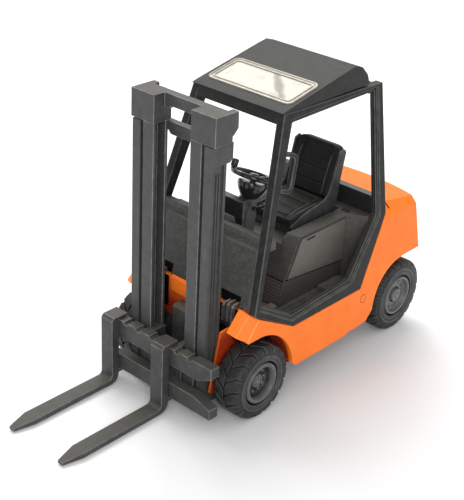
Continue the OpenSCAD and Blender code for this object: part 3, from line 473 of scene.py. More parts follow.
def make_finishes():
    c = colours()
    pale = (0.30, 0.29, 0.27)
    light = (0.20, 0.20, 0.195)
    # Each finish made for edges is a lighter copy of another finish, put on bevelled faces: a
    # painted highlight along the edges, with rubbed wear on top.
    FINISH.update(
        paint=finish(
            "body_paint", c.body, 0.42, dust=0.0, level=0.2, grain=700, grain_depth=0.012,
            speckle=0.03, shade=c.body_deep,
        ),
        paint_edge=finish(
            "body_paint_edge", (1.0, 0.31, 0.06), 0.36, worn=(1.0, 0.5, 0.16), wear=0.5, dust=0.0,
            grain=700, grain_depth=0.01, speckle=0.03, coat=0.4,
        ),
        paint_seam=finish("body_paint_seam", (0.42, 0.075, 0.01), 0.5, dust=0.0, level=0.2),
        cab=finish(
            "cab_plastic", c.cab, 0.5, worn=light, wear=0.08, dust=0.4, grain=1700, speckle=0.25,
            level=0.16,
        ),
        roof=finish(
            "roof_plastic", (0.022, 0.022, 0.021), 0.5, worn=light, wear=0.05, dust=0.12,
            grain=1700, speckle=0.2, level=0.16,
        ),
        cab_edge=finish(
            "cab_plastic_edge", (0.050, 0.049, 0.046), 0.44, worn=light, wear=0.35, dust=0.3,
            level=0.3,
        ),
        cowl=finish(
            "cowl_grain", c.cowl, 0.55, worn=light, wear=0.1, dust=0.5, grain=1050,
            grain_depth=0.09, speckle=0.9,
        ),
        hood=finish(
            "hood_plastic", c.hood, 0.45, worn=light, wear=0.08, dust=0.2, speckle=0.35, level=0.3,
        ),
        hood_edge=finish(
            "hood_plastic_edge", (0.075, 0.073, 0.064), 0.4, worn=pale, wear=0.35, dust=0.5,
        ),
        panel=finish(
            "hood_panel_plastic", (0.098, 0.094, 0.080), 0.45, worn=light, wear=0.1, dust=0.3,
            speckle=0.3,
        ),
        mat=finish(
            "floor_mat", (0.055, 0.053, 0.046), 0.62, worn=pale, wear=0.25, dust=0.55, grain=1300,
            grain_depth=0.06, speckle=0.6,
        ),
        mast=finish(
            "mast_paint", c.mast, 0.42, level=0.3, worn=light, wear=0.1, dust=0.6, speckle=0.12,
            scratch=0.35,
        ),
        mast_edge=finish(
            "mast_paint_edge", (0.095, 0.095, 0.096), 0.34, worn=(0.36, 0.36, 0.36), wear=0.5,
            dust=0.35, scratch=0.2,
        ),
        forks=finish(
            "fork_paint", c.forks, 0.45, level=0.3, worn=light, wear=0.12, dust=0.5, speckle=0.18,
            scratch=0.3,
        ),
        forks_edge=finish(
            "fork_paint_edge", (0.085, 0.084, 0.080), 0.36, worn=(0.32, 0.31, 0.29), wear=0.5,
            dust=0.5,
        ),
        tyre=finish(
            "tyre_rubber", c.tyre, 0.5, worn=(0.065, 0.066, 0.066), wear=0.3, dust=0.12, grain=1500,
            grain_depth=0.05, speckle=0.4, level=0.3,
        ),
        tyre_edge=finish(
            "tyre_rubber_edge", (0.05, 0.051, 0.052), 0.42, worn=(0.13, 0.13, 0.125), wear=0.5,
            dust=0.2,
        ),
        rim=finish(
            "rim_plastic", c.rim, 0.34, worn=pale, wear=0.15, dust=0.1, speckle=0.2, level=0.35,
        ),
        rim_edge=finish(
            "rim_plastic_edge", (0.17, 0.173, 0.178), 0.32, worn=pale, wear=0.4, dust=0.1,
        ),
        rim_dark=finish(
            "rim_recess", (0.009, 0.009, 0.010), 0.42, worn=(0.1, 0.1, 0.1), wear=0.4, dust=0.2,
        ),
        rim_dark_edge=finish(
            "rim_recess_edge", (0.035, 0.035, 0.036), 0.36, worn=(0.12, 0.12, 0.12), wear=0.4,
            dust=0.1,
        ),
        black=finish(
            "black_plastic", (0.012, 0.012, 0.013), 0.34, worn=(0.06, 0.06, 0.06), wear=0.2,
            dust=0.25,
        ),
        black_edge=finish(
            "black_plastic_edge", (0.035, 0.035, 0.037), 0.28, worn=(0.15, 0.15, 0.15), wear=0.4,
            dust=0.1,
        ),
        gloss=finish(
            "black_gloss", (0.008, 0.008, 0.009), 0.2, worn=(0.05, 0.05, 0.05), wear=0.15,
            dust=0.12, grain=900, grain_depth=0.01, coat=0.25, coat_rough=0.15,
        ),
        gloss_edge=finish(
            "black_gloss_edge", (0.02, 0.02, 0.021), 0.18, worn=(0.2, 0.2, 0.2), wear=0.3,
            dust=0.05, coat=0.6,
        ),
        seat=finish(
            "seat_skin", c.seat, 0.55, worn=(0.030, 0.027, 0.021), wear=0.3, dust=0.05, grain=1900,
            grain_depth=0.03, speckle=0.4, level=0.16,
        ),
        # The piping's tan rubbed colour is wear and also a painted highlight along the seat's edges
        # and seams.
        piping=finish(
            "seat_piping", (0.030, 0.027, 0.021), 0.35, worn=(0.16, 0.14, 0.10), wear=0.5, dust=0.1,
            coat=0.2,
        ),
        seat_side=finish(
            "seat_side_plastic", (0.022, 0.023, 0.027), 0.5, worn=light, wear=0.12, dust=0.15,
            speckle=0.2, level=0.35,
        ),
        column=finish(
            "column_plastic", (0.042, 0.042, 0.044), 0.42, worn=light, wear=0.15, dust=0.3,
            speckle=0.25,
        ),
        axle=finish(
            "axle_plastic", (0.020, 0.019, 0.017), 0.55, worn=light, wear=0.2, dust=0.6,
            speckle=0.7,
        ),
        axle_edge=finish(
            "axle_plastic_edge", (0.06, 0.055, 0.045), 0.5, worn=pale, wear=0.4, dust=0.5,
        ),
        steel=finish(
            "bright_steel", (0.55, 0.55, 0.55), 0.28, dust=0.1, metal=1.0, speckle=0.1,
            grain_depth=0.005,
        ),
        # Near-black of the hood seams, and of the painted shade in the recesses.
        void=finish("dark_void", (0.004, 0.004, 0.004), 0.8, dust=0.0, level=0.1),
        # The tan on the hose tops is dust and also a painted highlight along them.
        hose=finish(
            "hose_rubber", (0.060, 0.058, 0.056), 0.45, worn=pale, wear=0.25, dust=0.95,
            dust_patch=120, dust_colour=(0.40, 0.27, 0.185),
        ),
        window_lip=finish(
            "window_lip_plastic", (0.27, 0.245, 0.19), 0.3, worn=(0.58, 0.53, 0.43), wear=0.5,
            dust=0.15, coat=0.3,
        ),
        window=clear_plastic("window_plastic", c.window),
    )


# ---- frame nodes that keep their shape ----


def soften(nodes, width, material, edge=None, segments=2, limit=32.0):
    """Rounds the sharp edges of frame nodes with modifiers and gives them their finish; the rounded
    edges take the edge finish, which for most nodes is a lighter copy that paints a highlight along
    them.
    """
    for node in nodes.split():
        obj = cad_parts[node]
        obj.data.materials.clear()
        obj.data.materials.append(FINISH[material])
        obj.data.materials.append(FINISH[edge or material])
        for face in obj.data.polygons:
            face.use_smooth = True
        weld = obj.modifiers.new("joined", "WELD")
        weld.merge_threshold = 0.002 * MM
        flat = obj.modifiers.new("flattened", "DECIMATE")
        flat.decimate_type = "DISSOLVE"
        flat.angle_limit = math.radians(0.6)
        bevel = obj.modifiers.new("rounded", "BEVEL")
        bevel.width = width * MM
        bevel.segments = segments
        bevel.limit_method = "ANGLE"
        bevel.angle_limit = math.radians(limit)
        bevel.use_clamp_overlap = True
        # The bevel faces take the edge finish, most often a lighter copy: a painted highlight along
        # the edges, with rubbed wear.
        bevel.material = 1
        bevel.miter_outer = "MITER_ARC"
        shade = obj.modifiers.new("shaded", "WEIGHTED_NORMAL")
        shade.keep_sharp = False
        shade.weight = 60


# ---- mesh building ----


def circle(steps):
    """Angles all round, in radians."""
    return [2 * math.pi * i / steps for i in range(steps)]


def arc(centre, radius, start, end, steps):
    """Points of an arc in a plane, in degrees."""
    angles = (math.radians(start + (end - start) * i / steps) for i in range(steps + 1))
    return [(centre[0] + radius * math.cos(a), centre[1] + radius * math.sin(a)) for a in angles]


def corners(low, high):
    """The four corners of a rectangle in a plane."""
    return [low, (high[0], low[1]), high, (low[0], high[1])]


class Shape:
    """Collects faces of one piece in the model's own layout, in millimetres."""

    def __init__(self):
        self.mesh = bmesh.new()

    def ring(self, points):
        return [self.mesh.verts.new(at(*p)) for p in points]

    def face(self, ring, material=0):
        self.mesh.faces.new(ring).material_index = material

    def bridge(self, a, b, material=0):
        """Faces between two rings of as many points."""
        for i in range(len(a)):
            j = (i + 1) % len(a)
            self.face((a[i], a[j], b[j], b[i]), material)

    def around(self, rows):
        """Joins rings of points one after the other, and the last with the first."""
        rings = [self.ring(row) for row in rows]
        for a, b in zip(rings, rings[1:] + rings[:1]):
            self.bridge(a, b)

    def loft(self, rows, material=0):
        """Joins rings of points one after the other, and closes both ends."""
        rings = [self.ring(row) for row in rows]
        for a, b in zip(rings, rings[1:]):
            self.bridge(a, b, material)
        self.face(rings[0][::-1], material)
        self.face(rings[-1], material)

    def prism(self, outline, low, high, axis=0, material=0):
        """Draws an outline, which lies in the two other axes, along an axis."""
        self.loft([[(*p[:axis], w, *p[axis:]) for p in outline] for w in (low, high)], material)

    def block(self, low, high, material=0):
        self.prism(corners(low[1:], high[1:]), low[0], high[0], material=material)

    def lathe(self, profile, put, steps):
        """Turns a closed profile of (along, radius). put(along, p, q) gives each point."""
        self.around(
            [put(along, r * math.cos(a), r * math.sin(a)) for along, r in profile]
            for a in circle(steps)
        )

    def tube(self, path, radii, sides=10, closed=False):
        """A round tube along a path, with a radius for each point."""
        points = [Vector(p) for p in path]
        last = len(points) - 1
        across, rows = None, []
        for i, (p, radius) in enumerate(zip(points, radii)):
            before = points[i - 1] if closed or i else p
            after = points[(i + 1) % len(points)] if closed or i < last else p
            along = (after - before).normalized()
            if across is None:
                across = along.orthogonal().normalized()
            across = (across - along * across.dot(along)).normalized()
            other = along.cross(across)
            rows.append(
                [p + (across * math.cos(a) + other * math.sin(a)) * radius for a in circle(sides)]
            )
        if closed:
            self.around(rows)
        else:
            self.loft(rows)

    def done(self, name, body, slot, materials, replaces=(), width=0.0, limit=35.0, smooth=40.0):
        """Makes the object, rounds its edges, and lets it ride on its body."""
        bmesh.ops.recalc_face_normals(self.mesh, faces=self.mesh.faces)
        data = bpy.data.meshes.new(name)
        self.mesh.to_mesh(data)
        self.mesh.free()
        for m in materials:
            data.materials.append(FINISH[m])
        obj = bpy.data.objects.new(name, data)
        bpy.context.scene.collection.objects.link(obj)
        for face in data.polygons:
            face.use_smooth = True
        if width > 0:
            bevel = obj.modifiers.new("rounded", "BEVEL")
            bevel.width = width * MM
            bevel.segments = 2
            bevel.limit_method = "ANGLE"
            bevel.angle_limit = math.radians(limit)
            # The bevel faces take the last finish, most often a lighter edge copy: a painted
            # highlight along the edges, with rubbed wear.
            if len(materials) > 1:
                bevel.material = len(materials) - 1
            shade = obj.modifiers.new("shaded", "WEIGHTED_NORMAL")
            shade.weight = 60
        else:
            data.set_sharp_from_angle(angle=math.radians(smooth))
        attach(obj, body)
        if replaces:
            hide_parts(*replaces)


# ---- the pieces ----


class ForkliftOperator:
    """What the operators of the panel share."""

    bl_options = {"REGISTER", "UNDO"}


class FORKLIFT_OT_stage(ForkliftOperator, bpy.types.Operator):
    """Pale floor, soft studio lights and the camera"""

    bl_idname = "forklift.stage"
    bl_label = "Stage, lights and camera"

    def execute(self, context):
        context.scene.view_settings.view_transform = "Standard"
        self.make_floor()
        world = bpy.data.worlds.new("soft_room")
        context.scene.world = world
        world.use_nodes = True
        back = world.node_tree.nodes["Background"]
        back.inputs["Color"].default_value = (1.0, 1.0, 1.0, 1)
        back.inputs["Strength"].default_value = 0.62
        for name, place, size, power, tint in (
            ("key_light", (-0.42, 0.10, 0.62), 0.42, 2.6, (1.0, 0.985, 0.96)),
            ("fill_light", (0.50, -0.55, 0.45), 0.6, 3.0, (0.98, 0.985, 1.0)),
            ("top_light", (-0.30, 0.42, 0.60), 0.5, 2.6, (1.0, 1.0, 1.0)),
        ):
            light = bpy.data.lights.new(name, "AREA")
            light.shape = "DISK"
            light.size = size
            light.energy = power
            light.color = tint
            lamp = self.put_in_scene(name, light)
            lamp.location = place
            aim = Vector((0, 0, 0.03)) - lamp.location
            lamp.rotation_euler = aim.to_track_quat("-Z", "Y").to_euler()
        self.make_camera()
        return {"FINISHED"}

    def put_in_scene(self, name, data):
        made = bpy.data.objects.new(name, data)
        bpy.context.scene.collection.objects.link(made)
        return made

    def make_floor(self):
        """A sheet of pale paper just under the wheels."""
        data = bpy.data.meshes.new("floor")
        half = 3.0
        sheet = [(x, y, 0) for x, y in corners((-half, -half), (half, half))]
        data.from_pydata(sheet, [], [(0, 1, 2, 3)])
        floor = self.put_in_scene("floor", data)
        floor.location.z = -0.05 * MM
        paper, n, surface = new_material("pale_paper")
        tone = n.ramp(n.noise(n.place(), 6.0, 2.0), 0.2, 0.8)
        n.put(surface, "Base Color", n.mix(tone, (0.90, 0.90, 0.905), (0.92, 0.92, 0.92)))
        surface.inputs["Roughness"].default_value = 0.9
        surface.inputs["Specular IOR Level"].default_value = 0.1
        data.materials.append(paper)

    def make_camera(self):
        """A long lens from the front left, a little above the roof."""
        lens = bpy.data.cameras.new("camera")
        camera = self.put_in_scene("camera", lens)
        right = Vector((0.73593, 0.67540, 0.04733))
        up = Vector((-0.33886, 0.30690, 0.88938))
        back_way = Vector((0.58616, -0.67055, 0.45472))
        turn = Matrix((right, up, back_way)).transposed()
        camera.matrix_world = (
            Matrix.Translation(at(183.853, -196.735, 182.502)) @ turn.to_4x4()
        )
        lens.sensor_fit = "AUTO"
        lens.sensor_width = 36.0
        lens.lens = 82.0
        lens.shift_x = -0.0074
        lens.shift_y = -0.019
        lens.clip_start = 0.01
        lens.clip_end = 20.0
        bpy.context.scene.camera = camera


class FORKLIFT_OT_body(ForkliftOperator, bpy.types.Operator):
    """Painted casting, its pins, seams and the base plate under it"""

    bl_idname = "forklift.body"
    bl_label = "Body casting"

    def execute(self, context):
        soften("body_casting", 0.22, "paint", "paint_edge", limit=14.0)
        soften("side_pins", 0.08, "paint", "paint_edge")
        soften("base_plate", 0.2, "black", "black_edge")
        soften("base_screws", 0.06, "steel")
        creases, recesses, rings = Shape(), Shape(), Shape()
        for side in SIDES.values():
            outer_x, inner_x = side_x(25.4) - 0.04, 20.15
            top_x = side_x(30.2) - 0.04
            # Thin raised lines along the fender creases, in the lighter edge paint: a painted
            # highlight along each crease.
            for radius, low, high in (
                (0.13, (outer_x, -5.6, 25.4), (top_x, -1.0, 30.2)),
                (0.06, (inner_x, -7.4, 26.3), (inner_x, -2.6, 31.2)),
            ):
                low, high = (Vector((side * x, y, z)) for x, y, z in (low, high))
                path = [low.lerp(high, share) for share in (0.0, 0.06, 0.5, 0.94, 1.0)]
                creases.tube(path, (0.02, radius, radius, radius, 0.02), sides=8)

            # Near-black plates behind the hoses, where they drop and where they leave the cowl, and
            # a thin strip near the rear block's top: painted shade in those hollows.
            recesses.block((side * 9.5, -2.72, 21.7), (side * 17.3, -2.45, 31.1))
            recesses.block((side * 8.82, -1.0, 30.6), (side * 16.18, -0.75, 34.56))
            recesses.loft(
                [(side * x, *p) for p in corners((58.35, z - 0.3), (58.85, z + 0.03))]
                for x, z in ((17.25, BLOCK_TOP_Z - 0.38), (19.3, BLOCK_TOP_Z - 2.0))
            )

            face = side_x(PIN_Z) + 0.02
            rows = []
            for out, radius in ((-0.3, 1.35), (0.03, 1.35), (0.03, 1.1), (-0.3, 1.1)):
                row = []
                for a in circle(36):
                    z = PIN_Z + radius * math.sin(a)
                    x = side * (face + out - SIDE_LEAN * (z - PIN_Z))
                    row.append((x, PIN_Y + radius * math.cos(a), z))
                rows.append(row)
            rings.around(rows)
        creases.done("fender_creases", TRUCK, "orange_paint", ("paint_edge",))
        recesses.done("dark_recesses", TRUCK, "black_plastic", ("void",), width=0.03)
        rings.done("boss_rings", TRUCK, "orange_paint", ("paint_seam",), width=0.04)
        return {"FINISHED"}


class FORKLIFT_OT_cab(ForkliftOperator, bpy.types.Operator):
    """Cab frames, roof, roof window and grab handle"""

    bl_idname = "forklift.cab"
    bl_label = "Cab and roof"

    def execute(self, context):
        soften("cab_side_left cab_side_right", 0.25, "cab", "cab_edge")
        soften("roof", 0.5, "roof", "roof", segments=3)
        soften("rear_bar grab_handle", 0.3, "cab", "cab_edge")
        self.build_window()
        self.build_seals()
        return {"FINISHED"}

    def build_window(self):
        """A pane in a raised lip with rounded corners, on the front slope of the roof."""
        foot = Vector((CAB_FRONT_Y + 1.2, CAB_TOP_Z + 0.8))
        ridge = Vector((RIDGE_Y - 3.0, RIDGE_Z - 0.55))
        slope = math.atan((ridge.y - foot.y) / (ridge.x - foot.x))
        low, high = PANE_LOW, PANE_LOW + PANE_L

        def loop(grow, r, out):
            """Points round the pane: how much larger, how round, and how far out of the roof."""
            u1, v1 = PANE_X + grow - r, high + grow - r
            v0 = low - grow + r
            quarters = ((u1, v1, 0), (-u1, v1, 90), (-u1, v0, 180), (u1, v0, 270))
            return [
                (
                    p,
                    foot.x + q * math.cos(slope) - out * math.sin(slope),
                    foot.y + q * math.sin(slope) + out * math.cos(slope),
                )
                for u, v, start in quarters
                for p, q in arc((u, v), r, start, start + 90, 8)
            ]

        lip = Shape()
        lip.around(
            loop(*row)
            for row in (
                (0.55, 1.9, 0.0), (0.45, 1.8, 0.32), (0.05, 1.5, 0.36), (-0.15, 1.35, 0.1),
                (-0.55, 1.1, 0.06), (-0.7, 1.0, 0.3), (-0.95, 0.9, 0.3), (-1.05, 0.85, -0.1),
            )
        )
        lip.done("window_lip", TRUCK, "window", ("window_lip",), smooth=50)
        pane = Shape()
        pane.loft(loop(0.0, 1.4, out) for out in (-0.8, -0.05, 0.02))
        pane.done(
            "window_pane", TRUCK, "window", ("window",), replaces=("roof_window",), width=0.06
        )

    def build_seals(self):
        """Black seals and a step round the inside of the side openings."""
        outline = [
            Vector(p)
            for p in (
                (CAB_FRONT_Y + 3.8, CAB_TOP_Z - 3.0), (CAB_REAR_Y - 3.0, CAB_TOP_Z - 2.6),
                (PILLAR_FOOT_Y - 3.9, BLOCK_TOP_Z - 1.4), (38.0, RING_LOW_Z + 4.2),
                (12.6, RING_LOW_Z + 2.8), (0.7, COWL_LOW_Z + 1.7),
            )
        ]
        middle = sum(outline, Vector((0, 0))) / len(outline)
        seals = Shape()
        for side in SIDES.values():
            rows = []
            for shrink, depth in ((-0.1, 1.25), (-0.1, 1.6), (0.45, 1.6), (0.45, 1.25)):
                spots = [p + (middle - p).normalized() * shrink for p in outline]
                rows.append([(side * (side_x(q.y) - depth), *q) for q in spots])
            seals.around(rows)
        seals.done("opening_seals", TRUCK, "cab_plastic", ("black",), width=0.05)


def draw_strap(shape, x, path, half_w, half_t):
    """A flat strap of one width along a path of (y, z) at a place across the truck."""
    points = [Vector(p) for p in path]
    ways = [(b - a).normalized() for a, b in zip(points, points[1:])]
    rows = []
    for p, before, after in zip(points, ways[:1] + ways, ways + ways[-1:]):
        along = (before + after).normalized()
        out = Vector((along.y, -along.x)) * half_t / max(0.5, along.dot(before))
        low, high = p - out, p + out
        left, right = x - half_w, x + half_w
        rows.append([(left, *low), (right, *low), (right, *high), (left, *high)])
    shape.loft(rows)


class FORKLIFT_OT_cowl(ForkliftOperator, bpy.types.Operator):
    """Grained cowl, dash shelf and the two sets of hoses"""

    bl_idname = "forklift.cowl"
    bl_label = "Cowl and hoses"

    def execute(self, context):
        soften("cowl", 0.15, "cowl", "cab_edge")
        soften("dash_shelf", 0.2, "cowl", "cab_edge")
        for name, side in SIDES.items():
            self.build_hoses(name, side)
        return {"FINISHED"}

    def build_hoses(self, name, side):
        """Three flat hoses that leave the cowl, bend square and drop into a clip."""
        hoses = Shape()
        foot, clip_top = CLIP_Z
        for x, top in zip(HOSE_X, (31.7, 32.2, 32.1)):
            path = [(-0.9, top), (HOSE_Y + 0.5, top), (HOSE_Y, top - 0.55), (HOSE_Y, foot + 0.2)]
            draw_strap(hoses, side * x, path, 0.48, 0.5)
        clip_low = (side * (HOSE_X[0] - 0.9), HOSE_Y - 0.7, foot)
        hoses.block(clip_low, (side * (HOSE_X[-1] + 0.9), -2.5, clip_top), material=1)
        hoses.done(
            f"hose_set_{name}", TRUCK, "black_plastic", ("hose", "black"),
            replaces=(f"hoses_{name}",), width=0.13,
        )


class FORKLIFT_OT_floor(ForkliftOperator, bpy.types.Operator):
    """Cab floor and steps"""

    bl_idname = "forklift.cab_floor"
    bl_label = "Cab floor and steps"

    def execute(self, context):
        soften("floor_pan", 0.12, "mat", "cab_edge")
        soften("step_left step_right", 0.1, "mat", "cab_edge")
        half = 14.7
        toe = Shape()
        toe.block((-half, -0.6, FLOOR_Z - 1.1), (half, 7.6, FLOOR_Z))
        toe.done("toe_mat", TRUCK, "cab_plastic", ("mat", "cab_edge"), width=0.1)
        ribs = Shape()
        foot = FLOOR_Z - 0.1
        for side in SIDES.values():
            for i in range(7):
                x = side * (half + 0.85 * i)
                ribs.block((x - 0.17, 14.6 + 0.2 * i, foot), (x + 0.17, 38.0, FLOOR_Z + 0.24))
        for i in range(11):
            y = 0.4 + 1.25 * i
            ribs.block((0.2 - half, y - 0.17, foot), (half - 0.2, y + 0.17, FLOOR_Z + 0.22))
        ribs.done("floor_ribs", TRUCK, "cab_plastic", ("mat", "cab_edge"), width=0.06)
        return {"FINISHED"}


class FORKLIFT_OT_hood(ForkliftOperator, bpy.types.Operator):
    """Engine hood, its side panels and the rear panel"""

    bl_idname = "forklift.hood"
    bl_label = "Engine hood"

    def execute(self, context):
        soften("engine_hood", 0.6, "hood", "hood_edge", segments=3)
        soften("hood_panel_left hood_panel_right", 0.12, "panel", "hood_edge")
        soften("rear_panel", 0.15, "black", "cab_edge")
        seams = Shape()
        for side in SIDES.values():
            low, high = side * (HOOD_X - 0.1), side * (HOOD_X + 0.06)
            seams.loft(
                [(x, y, w) for x, w in corners((low, z - 0.12), (high, z + 0.18))]
                for y, z in ((19.6, SEAM_Z), (32.0, 29.0), (45.4, 27.7))
            )
        half = HOOD_X - 0.3
        seams.block((-half, 19.1, SEAM_Z - 0.32), (half, 19.5, SEAM_Z - 0.1))
        seams.done("hood_seams", TRUCK, "black_plastic", ("void",))
        studs = Shape()
        for row in range(8):
            z = FLOOR_Z + 0.9 + 0.85 * row
            y = 16.9 + (z - FLOOR_Z) * 2.4 / 7.6
            for i in range(30):
                x = -12.7 + 0.86 * i + (0.43 if row % 2 else 0.0)
                studs.loft(
                    [(x + r * math.cos(a), y - out, z + r * math.sin(a)) for a in circle(8)]
                    for r, out in ((0.25, -0.12), (0.22, 0.05), (0.12, 0.12))
                )
        studs.done("hood_studs", TRUCK, "cab_plastic", ("panel",), smooth=60)
        return {"FINISHED"}


def bump_line(value, at_value, width):
    """1 on a line, falling to 0 away from it."""
    return math.exp(-(((value - at_value) / width) ** 2))


def climb(value, start, width):
    """0 up to start, then rising to 1 over a width."""
    return max(0.0, min(1.0, (value - start) / width))


def draw_pad(shape, place, length, thick, relief, corner):
    """A moulded pad: a relief front with rounded corners and edges, and a flat back.

    place(across, along, out) gives a point, and relief(across, along) how far the front stands out.
    """
    bow = math.pi / 2 * 0.86
    edge_r = 1.0

    def spot(j, i):
        """Across, along and half the width at a crossing of the grid."""
        v = length * j / PAD_ROWS
        left = max(0.0, corner - (length - v))
        half = SEAT_X - (corner - math.sqrt(max(0.0, corner**2 - left**2)))
        return half * math.sin(bow * (2 * i / PAD_COLUMNS - 1)) / math.sin(bow), v, half

    def front(j, i):
        u, v, half = spot(j, i)
        near = max(0.0, min(half - abs(u), v + edge_r * 0.4, length - v, edge_r))
        drop = edge_r - math.sqrt(max(0.0, edge_r**2 - (edge_r - near) ** 2))
        return place(u, v, thick - drop + relief(u, v) * near / edge_r)

    rows, columns = range(PAD_ROWS + 1), range(PAD_COLUMNS + 1)
    grid = [shape.ring(front(j, i) for i in columns) for j in rows]
    for low, high in zip(grid, grid[1:]):
        for i in columns[:-1]:
            shape.face((low[i], low[i + 1], high[i + 1], high[i]))
    border = (
        [(0, i) for i in columns]
        + [(j, PAD_COLUMNS) for j in rows[1:]]
        + [(PAD_ROWS, i) for i in columns[-2::-1]]
        + [(j, 0) for j in rows[-2:0:-1]]
    )
    back = shape.ring(place(*spot(j, i)[:2], 0.0) for j, i in border)
    shape.bridge([grid[j][i] for j, i in border], back)
    shape.face(back[::-1])


def back_point(u, v, out):
    """A point of the seat back: across, up along it, and out from its rear face."""
    lean = math.radians(BACK_LEAN)
    deep = BACK_T - out
    return (
        u,
        BACK_FOOT[0] + deep * math.cos(lean) + v * math.sin(lean),
        BACK_FOOT[1] - deep * math.sin(lean) + v * math.cos(lean),
    )


def cushion_point(u, v, out):
    """A point of the seat cushion: across, forwards from its rear end, and up from its base."""
    return (u, CUSHION_REAR - v, CUSHION_Z + out + CUSHION_RISE * (1 - v / CUSHION_L))


def back_relief(u, v):
    """Seams, side bolsters and the thinner top of the seat back."""
    side, edge = abs(u), 5.0
    seams = sum(bump_line(v, 3.5 + k * 4.0, 0.15) for k in range(sizes().back_pleats))
    thinner = 1.15 * (max(0.0, v - 5.0) / (BACK_H - 5.0)) ** 1.3
    bolster = 0.5 * climb(side, edge, 0.9) - 0.28 * bump_line(side, edge, 0.2)
    return bolster - 0.3 * seams * (1 - climb(side, edge - 0.4, 0.4)) - thinner


def cushion_relief(u, v):
    """Panels, side bolsters and the rounded front of the cushion."""
    side, edge = abs(u), 5.1
    count = sizes().cushion_pleats
    panel = (CUSHION_L - 3.0) / count
    seams = sum(bump_line(v, 1.0 + k * panel, 0.19) for k in range(count + 1))
    swell = 0.14 * math.sin(math.pi * ((v - 1.0) / panel) % math.pi)
    front = max(0.0, (v - CUSHION_L + 3.2) / 3.2)
    bolster = 0.35 * climb(side, edge, 0.7) - 0.3 * bump_line(side, edge, 0.18)
    middle = 1 - climb(side, edge - 0.4, 0.4)
    return bolster + middle * (swell - 0.32 * seams) - 0.5 - 0.9 * front**2


class FORKLIFT_OT_seat(ForkliftOperator, bpy.types.Operator):
    """Seat mouldings on their suspension"""

    bl_idname = "forklift.seat"
    bl_label = "Seat"

    def execute(self, context):
        soften("seat_base", 0.12, "gloss", "gloss_edge")
        soften("seat_shell", 0.3, "seat_side", "seat_side")
        for name, place, length, thick, relief, corner in (
            ("seat_back", back_point, BACK_H, BACK_T, back_relief, 3.0),
            ("seat_cushion", cushion_point, CUSHION_L, CUSHION_H + 0.2, cushion_relief, 1.2),
        ):
            pad = Shape()
            draw_pad(pad, place, length, thick, relief, corner)
            pad.done(f"{name}_pad", TRUCK, "seat_skin", ("seat",), replaces=(name,), smooth=75)

        cords = Shape()
        for u in (-6.9, -5.55, 5.55, 6.9):
            edge = 0.105 if abs(u) > 6 else 0.0
            outs = [BACK_T + 0.4 - edge + min(0.0, back_relief(4.0, v)) for v in PIPING_UP]
            path = [back_point(u, v, out) for v, out in zip(PIPING_UP, outs)]
            path.append(back_point(u * 0.97, 12.6, outs[-1] - 0.5))
            cords.tube(path, (0.08, 0.12, 0.12, 0.12, 0.12, 0.11, 0.06))
            top = CUSHION_H + 0.1 - edge
            path = [cushion_point(u, v, top) for v in (1.0, 4.0, 8.0, 11.5)]
            path += [cushion_point(u, 13.8, top - 0.25), cushion_point(u, 15.4, top - 1.2 + edge)]
            cords.tube(path, (0.12, 0.18, 0.18, 0.18, 0.16, 0.08))
        cords.done("seat_piping", TRUCK, "seat_skin", ("piping",))

        shields = Shape()
        outline = [
            (28.0, 41.5), (27.2, 42.0), (27.3, 42.9), (31.5, 44.4), (37.0, 45.4), (41.6, 46.2),
            (43.4, 47.8), (45.0, 52.5), (46.9, 59.4), (48.8, 60.0), (49.9, 58.8), (48.4, 51.5),
            (47.3, 43.6), (45.4, 41.5),
        ]
        for side in SIDES.values():
            shields.prism(outline, side * (SEAT_X - 0.3), side * (SEAT_X + 0.3))
        shields.done(
            "seat_side_shields", TRUCK, "seat_grey", ("seat_side", "cab_edge"), width=0.14
        )
        return {"FINISHED"}


def on_column(along, x, y):
    """A point about the leaning steering column, from the middle of the steering wheel."""
    turn = Matrix.Rotation(math.radians(-WHEEL_TILT), 3, "X")
    return turn @ Vector((x, y, along)) + Vector((0, WHEEL_Y, WHEEL_Z))


